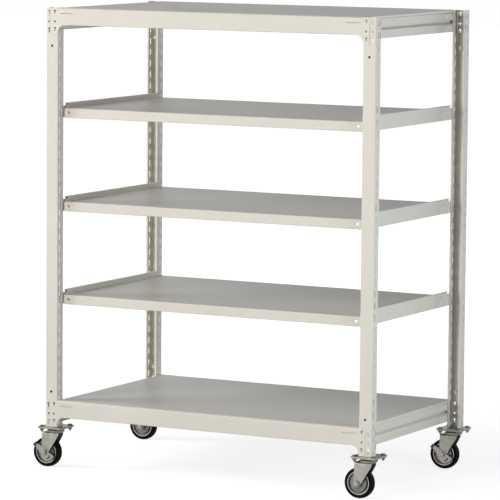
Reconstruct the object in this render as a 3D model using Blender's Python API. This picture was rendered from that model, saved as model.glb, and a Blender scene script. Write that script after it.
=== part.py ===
"""Mobile shelving: a boltless steel rack with five levels on four swivel casters.

Metres, +Z up, the floor at Z = 0. The front faces -Y and the width runs along X.
The casters trail towards -X, so the rack stands a little towards +X of the origin,
which is the middle of the whole object's footprint.
"""
import math

import bmesh
import bpy
from mathutils import Vector

# Overall sizes of the rack
RACK_WIDTH = 1.2036           # over the outer sides of the posts
RACK_DEPTH = 0.7026           # over the webs of the front and rear posts
DECK_SPAN = 1.300             # lowest deck to top deck
CLEARANCE = 0.0003            # gap between neighbouring pieces
OVERRUN = 0.002               # how far a cutter or a joined piece runs past a face

# Posts: channels open towards the inside of the rack, with lipped flanges
POST_WIDTH = 0.0447
POST_DEPTH = 0.037
POST_WALL = 0.0018
POST_LIP = 0.0065
POST_BEND = 0.0024
POST_TAIL = 0.090             # lowest deck down to the foot of the post
SLOT_PITCH = 0.03865
SLOT_LENGTH = 0.022
SLOT_WIDTH = 0.0055
SLOT_SETBACK = 0.014          # web face to the middle of a slot
SLOT_END_MARGIN = 0.005       # least steel left past the last slot
FIRST_SLOT_RISE = 0.0036      # middle of a slot above the lowest deck
TIE_SLOT_SETBACK = 0.029      # second column, near the free edge of the outer flange
TIE_SLOT_DROP = 0.017         # below each end deck
TIE_SLOT_PITCH = 0.040
WEB_HOLE_DIAMETER = 0.007
UPPER_WEB_HOLE_DROP = 0.125
LOWER_WEB_HOLE_RISE = 0.028

# Keyholes that the beams hook into, in rows below each end deck
KEYHOLE_ROW_DROP = 0.017
KEYHOLE_ROW_PITCH = 0.028
KEYHOLE_HEIGHT = 0.018
KEYHOLE_HEAD_WIDTH = 0.009
KEYHOLE_HEAD_HEIGHT = 0.0055
KEYHOLE_NECK_WIDTH = 0.0045
KEYHOLE_COLUMN_SHARE = 0.25   # of the post's width, in from each side

# Front and rear beams
BEAM_HEIGHT = 0.057
BEAM_WALL = 0.0015
BEAM_HEM = 0.0125             # width of the flat strip beside the deck
BEAM_BEND = 0.005
BEAM_LEDGE = 0.018            # carries the deck
BEAM_FOOT = 0.016             # lower flange
BEAM_BLEND = 0.012            # height over which the face carries the folded rim
TAB_FOOT_GAP = 0.001          # lower end of the end tab above the foot of the post
TAB_CORNER = 0.003
GUSSET_RADIUS = 0.025
GROOVE_LENGTH = 0.051
GROOVE_HEIGHT = 0.0018
GROOVE_DEPTH = 0.0007
GROOVE_INSET = 0.0095         # post to the near end of the pressed line
GROOVE_DROP = 0.0195

# Hooks of beams, ties and shelf supports
HOOK_NECK = 0.006             # height of the neck in its slot
HOOK_DROP = 0.005             # how far the hook hangs below its neck
HOOK_WALL = 0.0018
HOOK_WIDTH = 0.003

# Side ties under the two end decks
TIE_HEIGHT = 0.0635
TIE_WALL = 0.0015
TIE_GROOVE_TOP_DROP = 0.0335  # below the deck
TIE_GROOVE_HEIGHT = 0.0125
TIE_GROOVE_DEPTH = 0.012
TIE_GROOVE_FLOOR = 0.0050
TIE_FLANGE = 0.020
TIE_FOOT = 0.0055
TIE_BEND = 0.0025
TIE_END_LENGTH = 0.092        # doubling plates at each end
TIE_END_STEP = 0.0008         # how far the plates stand out of the face
TIE_COVER_SETBACK = 0.002     # post's free edge to the part that closes the groove
TIE_END_GAP = 0.010           # tie's end to the back of the beam

# Decks
DECK_WALL = 0.0012
DECK_BEND = 0.0030
END_DECK_LIP = 0.0082
SHELF_LIP = 0.0324
SHELF_RETURN = 0.010          # strip folded in under each lip
SHELF_SETBACK = 0.0267        # post webs to the shelf's front and rear lips
SHELF_HOLE_DIAMETER = 0.006
SHELF_HOLE_INSET = 0.017      # from the end of the lip
SHELF_HOLE_DROP = 0.0153
LOWEST_SHELF_SLOT = 9
SHELF_STEP_SLOTS = 8
SHELF_COUNT = 3

# Side supports of the three shelves
SUPPORT_RISE = 0.0165         # above the deck
SUPPORT_DROP = 0.0323         # below the deck
SUPPORT_WALL = 0.0015
SUPPORT_BEND = 0.0025
SUPPORT_CAP = 0.0065          # width of the folded top strip
SUPPORT_LEDGE = 0.024
SUPPORT_END_LAP = 0.019       # how far the end plate lies on the post's flange
SUPPORT_END_DROP = 0.0015     # deck to the end plate's upper edge
SUPPORT_STRIP_GAP = 0.0085    # raised strip to the edge of the post
NOTCH_RADIUS = 0.0045

# Casters
WHEEL_DIAMETER = 0.100
WHEEL_WIDTH = 0.026
TYRE_DEPTH = 0.0115           # tread to the tyre's bore
TREAD_CROWN = 0.0012
AXLE_RADIUS = 0.005
AXLE_NUT_FLATS = 0.017
AXLE_NUT_HEIGHT = 0.0065
AXLE_TAIL = 0.0015            # axle past its nuts
BOSS_RADIUS = 0.0105
HUB_RADIUS = 0.0095
HUB_PLAY = 0.001              # hub to the inner side of a leg
WHEEL_STEP_RADIUS = 0.0165
WHEEL_STEP_DEPTH = 0.0012
RIM_FOLD = 0.0027             # width of the rolled rim inside the tyre
GROOVE_WIDTH = 0.0053         # floor of the ring groove
GROOVE_SLOPE = 0.0020         # groove's floor to the pressed face
RIM_INSET = 0.0006            # rim's face behind the tyre's side
DISH_DEPTH = 0.0095           # rim's face down to the floor of the groove
CASTER_TRAIL = 0.031
WHEEL_HEADROOM = 0.0117       # tread to the head of the kingpin
CASTER_INSET = 0.0297         # post web to the swivel axis
PLATE_SIDE = 0.090
PLATE_CORNER = 0.006
PLATE_WALL = 0.0028
BOLT_SPACING = 0.068
BOLT_RADIUS = 0.004
BOLT_FLATS = 0.013
BOLT_HEAD = 0.0040
BOLT_NUT = 0.0065
BOLT_TAIL = 0.0055
RACE_HEIGHT = 0.0072
UPPER_RACE_RADIUS = 0.0265
LOWER_RACE_RADIUS = 0.0290
LOWER_RACE_HEIGHT = 0.0073
RACE_CHAMFER = 0.003
RACE_BORE_RADIUS = 0.018
KINGPIN_RADIUS = 0.006
KINGPIN_HEAD_RADIUS = 0.0105
KINGPIN_HEAD_HEIGHT = 0.0045
FORK_WALL = 0.0025
FORK_GAP = 0.019              # wheel's middle to the inner side of a leg
FORK_REAR = 0.041             # swivel axis to the legs' rear edge
FORK_FRONT = 0.018            # swivel axis to the legs' front edge, at the crown
FORK_CREASE = 0.0105          # swivel axis back to the crease in each leg
FORK_TAPER = 0.0035           # how far a leg's front edge is drawn in
FORK_BEND = 0.006
FORK_SHOULDER = 0.006         # crown down to the start of the slanting edge
FORK_SLANT_DEGREES = 29.0
FORK_END_RADIUS = 0.0125

# Brake lever on the outer side of two of the casters
LEVER_WALL = 0.002
LEVER_LOBE_RADIUS = 0.0385
LEVER_HUB_RADIUS = 0.0145
LEVER_ARM_LENGTH = 0.044
LEVER_ARM_HALF = 0.0075
LEVER_ARM_DEGREES = 143.0
LEVER_LOBE_START_DEGREES = 212.0
LEVER_LOBE_END_DEGREES = 345.0
LEVER_SLOT_RADIUS = 0.0235
LEVER_SLOT_WIDTH = 0.004
LEVER_SLOT_START_DEGREES = 292.0
LEVER_SLOT_END_DEGREES = 338.0
PEDAL_LENGTH = 0.015
PEDAL_THICKNESS = 0.0065
PEDAL_WIDTH = 0.011
PEDAL_BITE = 0.006            # how far the lever's end sits in the pedal

# Smoothness
ARC_STEPS = 2
WHEEL_SEGMENTS = 24
RACE_SEGMENTS = 16
SHAFT_SEGMENTS = 12
BOLT_SEGMENTS = 8

# Worked out from the sizes above
HALF_WIDTH = RACK_WIDTH / 2
HALF_DEPTH = RACK_DEPTH / 2
CROWN_TOP = WHEEL_DIAMETER + WHEEL_HEADROOM + KINGPIN_HEAD_HEIGHT + CLEARANCE + FORK_WALL
CASTER_HEIGHT = CROWN_TOP + LOWER_RACE_HEIGHT + CLEARANCE + RACE_HEIGHT + PLATE_WALL
FOOT_PLATE_BASE = CASTER_HEIGHT + CLEARANCE
POST_FOOT = FOOT_PLATE_BASE + PLATE_WALL + CLEARANCE
BOTTOM_LEVEL = POST_FOOT + POST_TAIL
TOP_LEVEL = BOTTOM_LEVEL + DECK_SPAN
TAB_DROP = POST_TAIL - TAB_FOOT_GAP
INNER_X = HALF_WIDTH - POST_WIDTH
SWIVEL_X = HALF_WIDTH - POST_WIDTH / 2
SWIVEL_Y = HALF_DEPTH - CASTER_INSET
WHEEL_RADIUS = WHEEL_DIAMETER / 2
WHEEL_REACH = SWIVEL_X + CASTER_TRAIL + WHEEL_RADIUS
PLATE_REACH = SWIVEL_X + PLATE_SIDE / 2
RACK_MIDDLE = (WHEEL_REACH - PLATE_REACH) / 2
DECK_HALF_WIDTH = INNER_X - CLEARANCE
DECK_HALF_DEPTH = HALF_DEPTH - BEAM_HEM - CLEARANCE
TIE_FACE = DECK_HALF_WIDTH
TIE_TOP_DROP = END_DECK_LIP + CLEARANCE
SUPPORT_FACE = INNER_X - CLEARANCE
SHELF_HALF_WIDTH = SUPPORT_FACE - SUPPORT_CAP - SUPPORT_BEND - CLEARANCE
SHELF_HALF_DEPTH = HALF_DEPTH - SHELF_SETBACK
BEAM_FACE = HALF_DEPTH + CLEARANCE + BEAM_WALL
BEAM_FLANGE_HALF = TIE_FACE - TIE_FLANGE - TIE_GROOVE_DEPTH
LEG_OUTER = FORK_GAP + FORK_WALL
LEVER_BACK = LEG_OUTER + CLEARANCE
NUT_BACK = LEVER_BACK + LEVER_WALL + CLEARANCE
TYRE_BORE = WHEEL_RADIUS - TYRE_DEPTH
RIM_INNER_RADIUS = TYRE_BORE - RIM_FOLD
GROOVE_INNER_RADIUS = RIM_INNER_RADIUS - GROOVE_WIDTH
WHEEL_FACE_RADIUS = GROOVE_INNER_RADIUS - GROOVE_SLOPE

SIDES = (("left", -1), ("right", 1))
ENDS = (("front", -1), ("rear", 1))
BRAKED = {("front", "left"), ("rear", "right")}


def clear_scene():
    """Remove every object that the file starts with."""
    for thing in list(bpy.data.objects):
        bpy.data.objects.remove(thing, do_unlink=True)


def paint(name, color, roughness, metallic):
    """A plain Principled material."""
    material = bpy.data.materials.new(name)
    material.use_nodes = True
    shader = material.node_tree.nodes["Principled BSDF"]
    shader.inputs["Base Color"].default_value = (*color, 1.0)
    shader.inputs["Roughness"].default_value = roughness
    shader.inputs["Metallic"].default_value = metallic
    return material


def place(name, mesh, material=None, smooth=False):
    """Put a mesh into the scene as an object."""
    thing = bpy.data.objects.new(name, mesh)
    bpy.context.scene.collection.objects.link(thing)
    if material:
        mesh.materials.append(material)
    if smooth:
        mesh.shade_smooth()
        mesh.set_sharp_from_angle(angle=math.radians(35))
    return thing


def mesh_from(shape):
    """Close a bmesh into a mesh whose faces point out."""
    bmesh.ops.remove_doubles(shape, verts=shape.verts, dist=OVERRUN / 1000)
    bmesh.ops.recalc_face_normals(shape, faces=shape.faces)
    mesh = bpy.data.meshes.new("form")
    shape.to_mesh(mesh)
    shape.free()
    return mesh


def add_prism(shape, outline, axis, low, high):
    """Extrude a flat outline along one axis, inside a bmesh.

    The outline's pairs are the two other coordinates, in X, Y, Z order.
    """
    rings = []
    for place_along in (low, high):
        ring = []
        for a, b in outline:
            point = {"x": (place_along, a, b), "y": (a, place_along, b), "z": (a, b, place_along)}
            ring.append(shape.verts.new(point[axis]))
        rings.append(ring)
    count = len(outline)
    for i in range(count):
        j = (i + 1) % count
        shape.faces.new((rings[0][i], rings[0][j], rings[1][j], rings[1][i]))
    shape.faces.new(rings[0])
    shape.faces.new(rings[1])


def prism(outline, axis, low, high):
    """A mesh of one extruded outline."""
    shape = bmesh.new()
    add_prism(shape, outline, axis, low, high)
    return mesh_from(shape)


def box_outline(a0, b0, a1, b1):
    """Four corners of a rectangle."""
    return [(a0, b0), (a1, b0), (a1, b1), (a0, b1)]


def ring_outline(center, radius, segments, turn=0.0):
    """Corners of a regular polygon about a centre."""
    step = 2 * math.pi / segments
    return [(center[0] + radius * math.cos(turn + i * step),
             center[1] + radius * math.sin(turn + i * step)) for i in range(segments)]


def hexagon(center, across_flats):
    """Corners of a nut."""
    return ring_outline(center, across_flats / math.sqrt(3), 6, math.radians(30))


def arc(center, radius, start, end, steps):
    """Points along an arc, by angle in radians."""
    return [(center[0] + radius * math.cos(start + (end - start) * i / steps),
             center[1] + radius * math.sin(start + (end - start) * i / steps))
            for i in range(steps + 1)]


def round_corners(points, radius, steps, closed):
    """Turn the corners of a path into short arcs of one radius."""
    result = []
    count = len(points)
    for i, point in enumerate(points):
        here = Vector(point)
        if not closed and i in (0, count - 1):
            result.append(tuple(here))
            continue
        back = (Vector(points[i - 1]) - here).normalized()
        ahead = (Vector(points[(i + 1) % count]) - here).normalized()
        half = back.angle(ahead) / 2
        if radius <= 0 or half > math.radians(89):
            result.append(tuple(here))
            continue
        inset = radius / math.tan(half)
        center = here + (back + ahead).normalized() * (radius / math.sin(half))
        start = here + back * inset - center
        end = here + ahead * inset - center
        sweep = math.atan2(start.x * end.y - start.y * end.x, start.dot(end))
        angle = math.atan2(start.y, start.x)
        for k in range(steps + 1):
            turn = angle + sweep * k / steps
            result.append((center.x + radius * math.cos(turn), center.y + radius * math.sin(turn)))
    return result


def sheet_section(path, wall, bend, steps=ARC_STEPS):
    """Outline of bent sheet metal whose left-hand face follows the path."""
    middle = round_corners(path, bend, steps, closed=False)
    left = []
    right = []
    for i, point in enumerate(middle):
        here = Vector(point)
        before = Vector(middle[max(i - 1, 0)])
        after = Vector(middle[min(i + 1, len(middle) - 1)])
        first = (here - before).normalized() if i else (after - here).normalized()
        second = (after - here).normalized() if i < len(middle) - 1 else first
        normal = (Vector((first.y, -first.x)) + Vector((second.y, -second.x))).normalized()
        stretch = 1 / max(normal.dot(Vector((first.y, -first.x))), 0.2)
        left.append(tuple(here))
        right.append(tuple(here + normal * wall * stretch))
    return left + right[::-1]


def mirrored(outline, side, column=0):
    """Turn one coordinate of an outline over for the left or the front."""
    if column:
        return [(a, b * side) for a, b in outline]
    return [(a * side, b) for a, b in outline]


def turned(profile, axis, center, segments):
    """Turn a closed profile of (radius, height along the axis) about an axis."""
    shape = bmesh.new()
    rings = []
    for i in range(segments):
        angle = 2 * math.pi * i / segments
        ring = []
        for radius, along in profile:
            a = radius * math.cos(angle)
            b = radius * math.sin(angle)
            if axis == "z":
                ring.append(shape.verts.new((center[0] + a, center[1] + b, center[2] + along)))
            else:
                ring.append(shape.verts.new((center[0] + a, center[1] + along, center[2] + b)))
        rings.append(ring)
    count = len(profile)
    for i in range(segments):
        near = rings[i]
        far = rings[(i + 1) % segments]
        for k in range(count):
            m = (k + 1) % count
            if profile[k][0] == 0 and profile[m][0] == 0:
                continue
            corners = [near[k], near[m], far[m], far[k]]
            if profile[k][0] == 0:
                corners = [near[k], near[m], far[m]]
            elif profile[m][0] == 0:
                corners = [near[k], near[m], far[k]]
            shape.faces.new(corners)
    return mesh_from(shape)


def bore_radius(shaft_radius):
    """Corner radius of a faceted bore whose flats clear a turning shaft."""
    return (shaft_radius + CLEARANCE) / math.cos(math.pi / SHAFT_SEGMENTS)


def combine(thing, mesh, operation):
    """Cut, join or intersect an object with a mesh."""
    helper = place(f"{thing.name}_{operation.lower()}_{len(thing.modifiers)}", mesh)
    helper.hide_render = True
    helper.display_type = "WIRE"
    modifier = thing.modifiers.new(operation.title(), "BOOLEAN")
    modifier.operation = operation
    modifier.solver = "EXACT"
    modifier.object = helper
    return thing


def rack_x(x):
    """Distance from the rack's middle, as a world X."""
    return RACK_MIDDLE + x


def slot_levels():
    """Heights of the middles of the slots, from the foot of a post upwards."""
    base = BOTTOM_LEVEL + FIRST_SLOT_RISE
    margin = SLOT_LENGTH / 2 + SLOT_END_MARGIN
    first = math.ceil((POST_FOOT + margin - base) / SLOT_PITCH)
    last = math.floor((TOP_LEVEL - margin - base) / SLOT_PITCH)
    return [base + k * SLOT_PITCH for k in range(first, last + 1)]


def shelf_levels():
    """Deck heights of the shelves, lowest first."""
    base = BOTTOM_LEVEL + FIRST_SLOT_RISE
    return [base + (LOWEST_SHELF_SLOT + i * SHELF_STEP_SLOTS) * SLOT_PITCH for i in range(SHELF_COUNT)]


def keyhole_outline(x, z):
    """A keyhole with its head up, about its middle."""
    head = KEYHOLE_HEAD_WIDTH / 2
    neck = KEYHOLE_NECK_WIDTH / 2
    top = z + KEYHOLE_HEIGHT / 2
    foot = z - KEYHOLE_HEIGHT / 2
    shoulder = top - KEYHOLE_HEAD_HEIGHT
    return [(x - neck, foot), (x + neck, foot), (x + neck, shoulder), (x + head, shoulder),
            (x + head, top), (x - head, top), (x - head, shoulder), (x - neck, shoulder)]


def keyhole_rows(level):
    """Heights of the upper keyhole, the round hole and the lower keyhole."""
    return [level - KEYHOLE_ROW_DROP - i * KEYHOLE_ROW_PITCH for i in range(3)]


def make_post(end, y_side, side, x_side, material):
    """A post: a lipped channel, slotted in its flanges and holed in its web."""
    path = [(POST_LIP, POST_DEPTH), (0, POST_DEPTH), (0, 0), (POST_WIDTH, 0),
            (POST_WIDTH, POST_DEPTH), (POST_WIDTH - POST_LIP, POST_DEPTH)]
    section = sheet_section(path[::-1], POST_WALL, POST_BEND)
    outline = [(rack_x(x_side * (HALF_WIDTH - u)), y_side * (HALF_DEPTH - v)) for u, v in section]
    post = place(f"post_{end}_{side}", prism(outline, "z", POST_FOOT, TOP_LEVEL), material)
    cutters = bmesh.new()
    slot_y = y_side * (HALF_DEPTH - SLOT_SETBACK)
    for level in slot_levels():
        slot = box_outline(slot_y - SLOT_WIDTH / 2, level - SLOT_LENGTH / 2,
                           slot_y + SLOT_WIDTH / 2, level + SLOT_LENGTH / 2)
        add_prism(cutters, slot, "x", rack_x(x_side * (HALF_WIDTH + OVERRUN)),
                  rack_x(x_side * (INNER_X - OVERRUN)))
    tie_slot_y = y_side * (HALF_DEPTH - TIE_SLOT_SETBACK)
    for level in (BOTTOM_LEVEL, TOP_LEVEL):
        for drop in (TIE_SLOT_DROP, TIE_SLOT_DROP + TIE_SLOT_PITCH):
            slot = box_outline(tie_slot_y - SLOT_WIDTH / 2, level - drop - SLOT_LENGTH / 2,
                               tie_slot_y + SLOT_WIDTH / 2, level - drop + SLOT_LENGTH / 2)
            add_prism(cutters, slot, "x", rack_x(x_side * (HALF_WIDTH + OVERRUN)),
                      rack_x(x_side * (HALF_WIDTH - POST_WALL - OVERRUN)))
    web_out = y_side * (HALF_DEPTH + OVERRUN)
    web_in = y_side * (HALF_DEPTH - POST_WALL - OVERRUN)
    hole = WEB_HOLE_DIAMETER / 2
    for share in (KEYHOLE_COLUMN_SHARE, 1 - KEYHOLE_COLUMN_SHARE):
        x = rack_x(x_side * (HALF_WIDTH - POST_WIDTH * share))
        for level in (BOTTOM_LEVEL, TOP_LEVEL):
            upper, middle, lower = keyhole_rows(level)
            add_prism(cutters, keyhole_outline(x, upper), "y", web_out, web_in)
            add_prism(cutters, ring_outline((x, middle), hole, 6), "y", web_out, web_in)
            add_prism(cutters, keyhole_outline(x, lower), "y", web_out, web_in)
    for z in (BOTTOM_LEVEL + LOWER_WEB_HOLE_RISE, TOP_LEVEL - UPPER_WEB_HOLE_DROP):
        add_prism(cutters, ring_outline((rack_x(x_side * SWIVEL_X), z), hole, 6), "y", web_out, web_in)
    return combine(post, mesh_from(cutters), "DIFFERENCE")


def make_beam(height, level, end, y_side, material):
    """A beam: a face with end tabs and gussets, a folded rim, a ledge and a foot."""
    tab_end = SWIVEL_X - CLEARANCE
    neck = INNER_X
    foot = level - BEAM_HEIGHT
    tab_foot = level - TAB_DROP
    center = (neck - GUSSET_RADIUS, foot - GUSSET_RADIUS)
    half = [(0, level - BEAM_BLEND), (neck, level - BEAM_BLEND), (neck, level)]
    half += arc((tab_end - TAB_CORNER, level - TAB_CORNER), TAB_CORNER, math.pi / 2, 0, ARC_STEPS)
    half += arc((tab_end - TAB_CORNER, tab_foot + TAB_CORNER), TAB_CORNER, 0, -math.pi / 2, ARC_STEPS)
    half += [(neck, tab_foot)]
    half += arc(center, GUSSET_RADIUS, 0, math.pi / 2, 3 * ARC_STEPS)
    outline = half + [(-x, z) for x, z in half[::-1]][:-1]
    outline = [(rack_x(x), z) for x, z in outline]
    face_out = y_side * BEAM_FACE
    face_in = y_side * (BEAM_FACE - BEAM_WALL)
    beam = place(f"beam_{height}_{end}", prism(outline, "y", face_out, face_in), material)
    rim = [(BEAM_FACE, level - BEAM_BLEND - OVERRUN), (BEAM_FACE, level),
           (HALF_DEPTH - BEAM_HEM, level), (HALF_DEPTH - BEAM_HEM, level - DECK_WALL - BEAM_BEND)]
    section = sheet_section(rim[::-1], BEAM_WALL, BEAM_BEND)
    combine(beam, prism(mirrored(section, y_side), "x", rack_x(-neck + CLEARANCE),
                        rack_x(neck - CLEARANCE)), "UNION")
    ledge_top = level - DECK_WALL - CLEARANCE
    inner = HALF_DEPTH - BEAM_HEM
    ledge = box_outline(inner - BEAM_LEDGE, ledge_top - BEAM_WALL, inner + BEAM_BEND, ledge_top)
    lower = box_outline(BEAM_FACE - BEAM_FOOT, foot, BEAM_FACE - BEAM_WALL / 2, foot + BEAM_WALL)
    flanges = bmesh.new()
    foot_half = neck - GUSSET_RADIUS
    add_prism(flanges, mirrored(ledge, y_side), "x", rack_x(-BEAM_FLANGE_HALF), rack_x(BEAM_FLANGE_HALF))
    add_prism(flanges, mirrored(lower, y_side), "x", rack_x(-foot_half), rack_x(foot_half))
    combine(beam, mesh_from(flanges), "UNION")
    cutters = bmesh.new()
    hooks = bmesh.new()
    column = HALF_WIDTH - POST_WIDTH * (1 - KEYHOLE_COLUMN_SHARE)
    upper, middle, lower_row = keyhole_rows(level)
    face_past = y_side * (BEAM_FACE + OVERRUN)
    back_past = y_side * (BEAM_FACE - BEAM_WALL - OVERRUN)
    for x_side in (-1, 1):
        x = rack_x(x_side * column)
        add_prism(cutters, ring_outline((x, middle), WEB_HOLE_DIAMETER / 2, 6), "y", face_past, back_past)
        for row in (upper, lower_row):
            neck_foot = row - KEYHOLE_HEIGHT / 2 + CLEARANCE
            slit = box_outline(x - KEYHOLE_NECK_WIDTH / 2, neck_foot + HOOK_NECK,
                               x + KEYHOLE_NECK_WIDTH / 2, row + KEYHOLE_HEIGHT / 2)
            add_prism(cutters, slit, "y", face_past, back_past)
            add_hook(hooks, "y", x, y_side, BEAM_FACE - BEAM_WALL, neck_foot)
        near = neck - GROOVE_INSET
        groove = box_outline(rack_x(x_side * near), level - GROOVE_DROP,
                             rack_x(x_side * (near - GROOVE_LENGTH)), level - GROOVE_DROP + GROOVE_HEIGHT)
        add_prism(cutters, groove, "y", face_past, y_side * (BEAM_FACE - GROOVE_DEPTH))
    combine(beam, mesh_from(cutters), "DIFFERENCE")
    return combine(beam, mesh_from(hooks), "UNION")


def add_hook(shape, axis, across, sign, face, neck_foot):
    """A hook behind a post's sheet: a neck through the slot and a hanging tongue.

    The face is the back of the sheet that carries the hook. The hook runs from it
    towards the middle of the rack along Y, or away from the middle along X.
    """
    towards = -1 if axis == "y" else 1
    past_wall = POST_WALL + CLEARANCE
    behind = HALF_DEPTH - past_wall if axis == "y" else INNER_X + past_wall
    root = face - towards * BEAM_WALL / 2
    tip = behind + towards * HOOK_WALL
    profile = [(root, neck_foot), (root, neck_foot + HOOK_NECK), (tip, neck_foot + HOOK_NECK),
               (tip, neck_foot - HOOK_DROP), (behind, neck_foot - HOOK_DROP), (behind, neck_foot)]
    low = across - HOOK_WIDTH / 2
    high = across + HOOK_WIDTH / 2
    if axis == "y":
        add_prism(shape, [(a * sign, z) for a, z in profile], "x", low, high)
    else:
        add_prism(shape, [(rack_x(a * sign), z) for a, z in profile], "y", low, high)


def covered_necks(low, high):
    """Feet of the hook necks that fall between two heights, one for each slot."""
    feet = [z - SLOT_LENGTH / 2 + CLEARANCE for z in slot_levels()]
    return [z for z in feet if z >= low and z + HOOK_NECK <= high]


def make_tie(height, level, side, x_side, material):
    """A side tie: a grooved channel, doubled at both ends by forked plates that hook in."""
    top = level - TIE_TOP_DROP
    foot = top - TIE_HEIGHT
    groove_top = level - TIE_GROOVE_TOP_DROP
    groove_foot = groove_top - TIE_GROOVE_HEIGHT
    face = TIE_FACE - TIE_END_STEP
    deep = face - TIE_GROOVE_DEPTH
    path = [(face - TIE_FLANGE, top), (face, top), (face, groove_top), (deep, groove_top),
            (deep, groove_top - TIE_GROOVE_FLOOR), (face, groove_foot), (face, foot), (face - TIE_FOOT, foot)]
    section = sheet_section(path, TIE_WALL, TIE_BEND, 1)
    run = BEAM_FACE - BEAM_WALL - TIE_END_GAP
    pad_start = run - TIE_END_LENGTH
    cover_start = HALF_DEPTH - POST_DEPTH + TIE_COVER_SETBACK
    end = run - TIE_END_STEP
    outline = [(rack_x(x_side * x), z) for x, z in section]
    tie = place(f"tie_{height}_{side}", prism(outline, "y", -run, run), material)
    plates = bmesh.new()
    hooks = bmesh.new()
    back = rack_x(x_side * (face - TIE_WALL / 2))
    for y_side in (-1, 1):
        low = foot + TIE_BEND
        high = top - TIE_BEND
        steps = [(pad_start, low), (end, low), (end, high), (pad_start, high), (pad_start, groove_top + TIE_BEND),
                 (cover_start, groove_top + TIE_BEND), (cover_start, groove_foot - TIE_BEND),
                 (pad_start, groove_foot - TIE_BEND)]
        add_prism(plates, [(y_side * y, z) for y, z in steps], "x", back, rack_x(x_side * TIE_FACE))
        for neck_foot in covered_necks(low, high):
            add_hook(hooks, "x", y_side * (HALF_DEPTH - SLOT_SETBACK), x_side, face, neck_foot)
    combine(tie, mesh_from(plates), "UNION")
    return combine(tie, mesh_from(hooks), "UNION")


def make_end_deck(height, level, material):
    """The lowest or the top deck: a sheet with a lip down each side."""
    half = DECK_HALF_WIDTH
    path = [(-half, level - END_DECK_LIP), (-half, level), (half, level), (half, level - END_DECK_LIP)]
    section = [(rack_x(x), z) for x, z in sheet_section(path, DECK_WALL, DECK_BEND)]
    return place(f"deck_{height}", prism(section, "y", -DECK_HALF_DEPTH, DECK_HALF_DEPTH), material)


def make_shelf(number, level, material):
    """A shelf: a sheet with a deep lip and a return along its front and rear."""
    half = SHELF_HALF_DEPTH
    foot = level - SHELF_LIP
    path = [(SHELF_RETURN - half, foot), (-half, foot), (-half, level),
            (half, level), (half, foot), (half - SHELF_RETURN, foot)]
    section = sheet_section(path, DECK_WALL, DECK_BEND)
    ends = (rack_x(-SHELF_HALF_WIDTH), rack_x(SHELF_HALF_WIDTH))
    shelf = place(f"shelf_{number}", prism(section, "x", *ends), material)
    cutters = bmesh.new()
    for x_side in (-1, 1):
        x = rack_x(x_side * (SHELF_HALF_WIDTH - SHELF_HOLE_INSET))
        hole = ring_outline((x, level - SHELF_HOLE_DROP), SHELF_HOLE_DIAMETER / 2, 8)
        for y_side in (-1, 1):
            add_prism(cutters, hole, "y", y_side * (half + OVERRUN), y_side * (half - DECK_WALL - OVERRUN))
    return combine(shelf, mesh_from(cutters), "DIFFERENCE")


def make_support(number, level, side, x_side, material):
    """A side support: a raised folded strip, a ledge for the shelf and hooked end plates."""
    face = SUPPORT_FACE
    top = level + SUPPORT_RISE
    foot = level - SUPPORT_DROP
    ledge_top = level - DECK_WALL - CLEARANCE
    inner = face - SUPPORT_CAP
    path = [(inner - SUPPORT_LEDGE, ledge_top), (inner, ledge_top), (inner, top), (face, top),
            (face, foot), (inner, foot)]
    section = sheet_section(path, SUPPORT_WALL, SUPPORT_BEND, 1)
    outline = [(rack_x(x_side * x), z) for x, z in section]
    edge = HALF_DEPTH - POST_DEPTH
    end = edge + SUPPORT_END_LAP
    strip = edge - SUPPORT_STRIP_GAP
    support = place(f"support_{number}_{side}", prism(outline, "y", -end, end), material)
    flat = bmesh.new()
    flanges = bmesh.new()
    feet = bmesh.new()
    hooks = bmesh.new()
    past = end + OVERRUN
    cut = level - SUPPORT_END_DROP
    across = (rack_x(x_side * (inner - SUPPORT_LEDGE - OVERRUN)), rack_x(x_side * (face + OVERRUN)))
    inside = (rack_x(x_side * (inner - SUPPORT_LEDGE - OVERRUN)), rack_x(x_side * (face - SUPPORT_WALL)))
    slot_y = HALF_DEPTH - SLOT_SETBACK
    notch = arc((strip, cut + NOTCH_RADIUS), NOTCH_RADIUS, -math.pi / 2, -3 * math.pi / 2, 6)
    window = [(past, cut)] + notch + [(strip, top + OVERRUN), (past, top + OVERRUN)]
    for y_side in (-1, 1):
        add_prism(flat, mirrored(window, y_side), "x", *across)
        inner_box = box_outline(y_side * (strip - NOTCH_RADIUS / 2), foot - OVERRUN, y_side * past, cut + OVERRUN)
        add_prism(flanges, inner_box, "x", *inside)
        foot_box = box_outline(y_side * strip, foot - OVERRUN, y_side * past, foot + SUPPORT_BEND / 2)
        add_prism(feet, foot_box, "x", *across)
        for neck_foot in covered_necks(foot + SUPPORT_BEND, cut):
            tab = box_outline(y_side * (end - OVERRUN), neck_foot,
                              y_side * (slot_y + HOOK_WIDTH / 2), neck_foot + HOOK_NECK)
            add_prism(hooks, tab, "x", rack_x(x_side * face), rack_x(x_side * (face - SUPPORT_WALL)))
    for cutters in (flat, flanges, feet):
        combine(support, mesh_from(cutters), "DIFFERENCE")
    combine(support, mesh_from(hooks), "UNION")
    tongues = bmesh.new()
    for y_side in (-1, 1):
        for neck_foot in covered_necks(foot + SUPPORT_BEND, cut):
            add_hook(tongues, "x", y_side * slot_y, x_side, face, neck_foot)
    return combine(support, mesh_from(tongues), "UNION")


def bolt_places(x, y):
    """The four corners of a caster's bolt pattern."""
    half = BOLT_SPACING / 2
    return [(x + a * half, y + b * half) for a in (-1, 1) for b in (-1, 1)]


def plate_outline(x, y):
    """A square plate with rounded corners."""
    half = PLATE_SIDE / 2
    corners = box_outline(x - half, y - half, x + half, y + half)
    return round_corners(corners, PLATE_CORNER, ARC_STEPS, closed=True)


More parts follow.
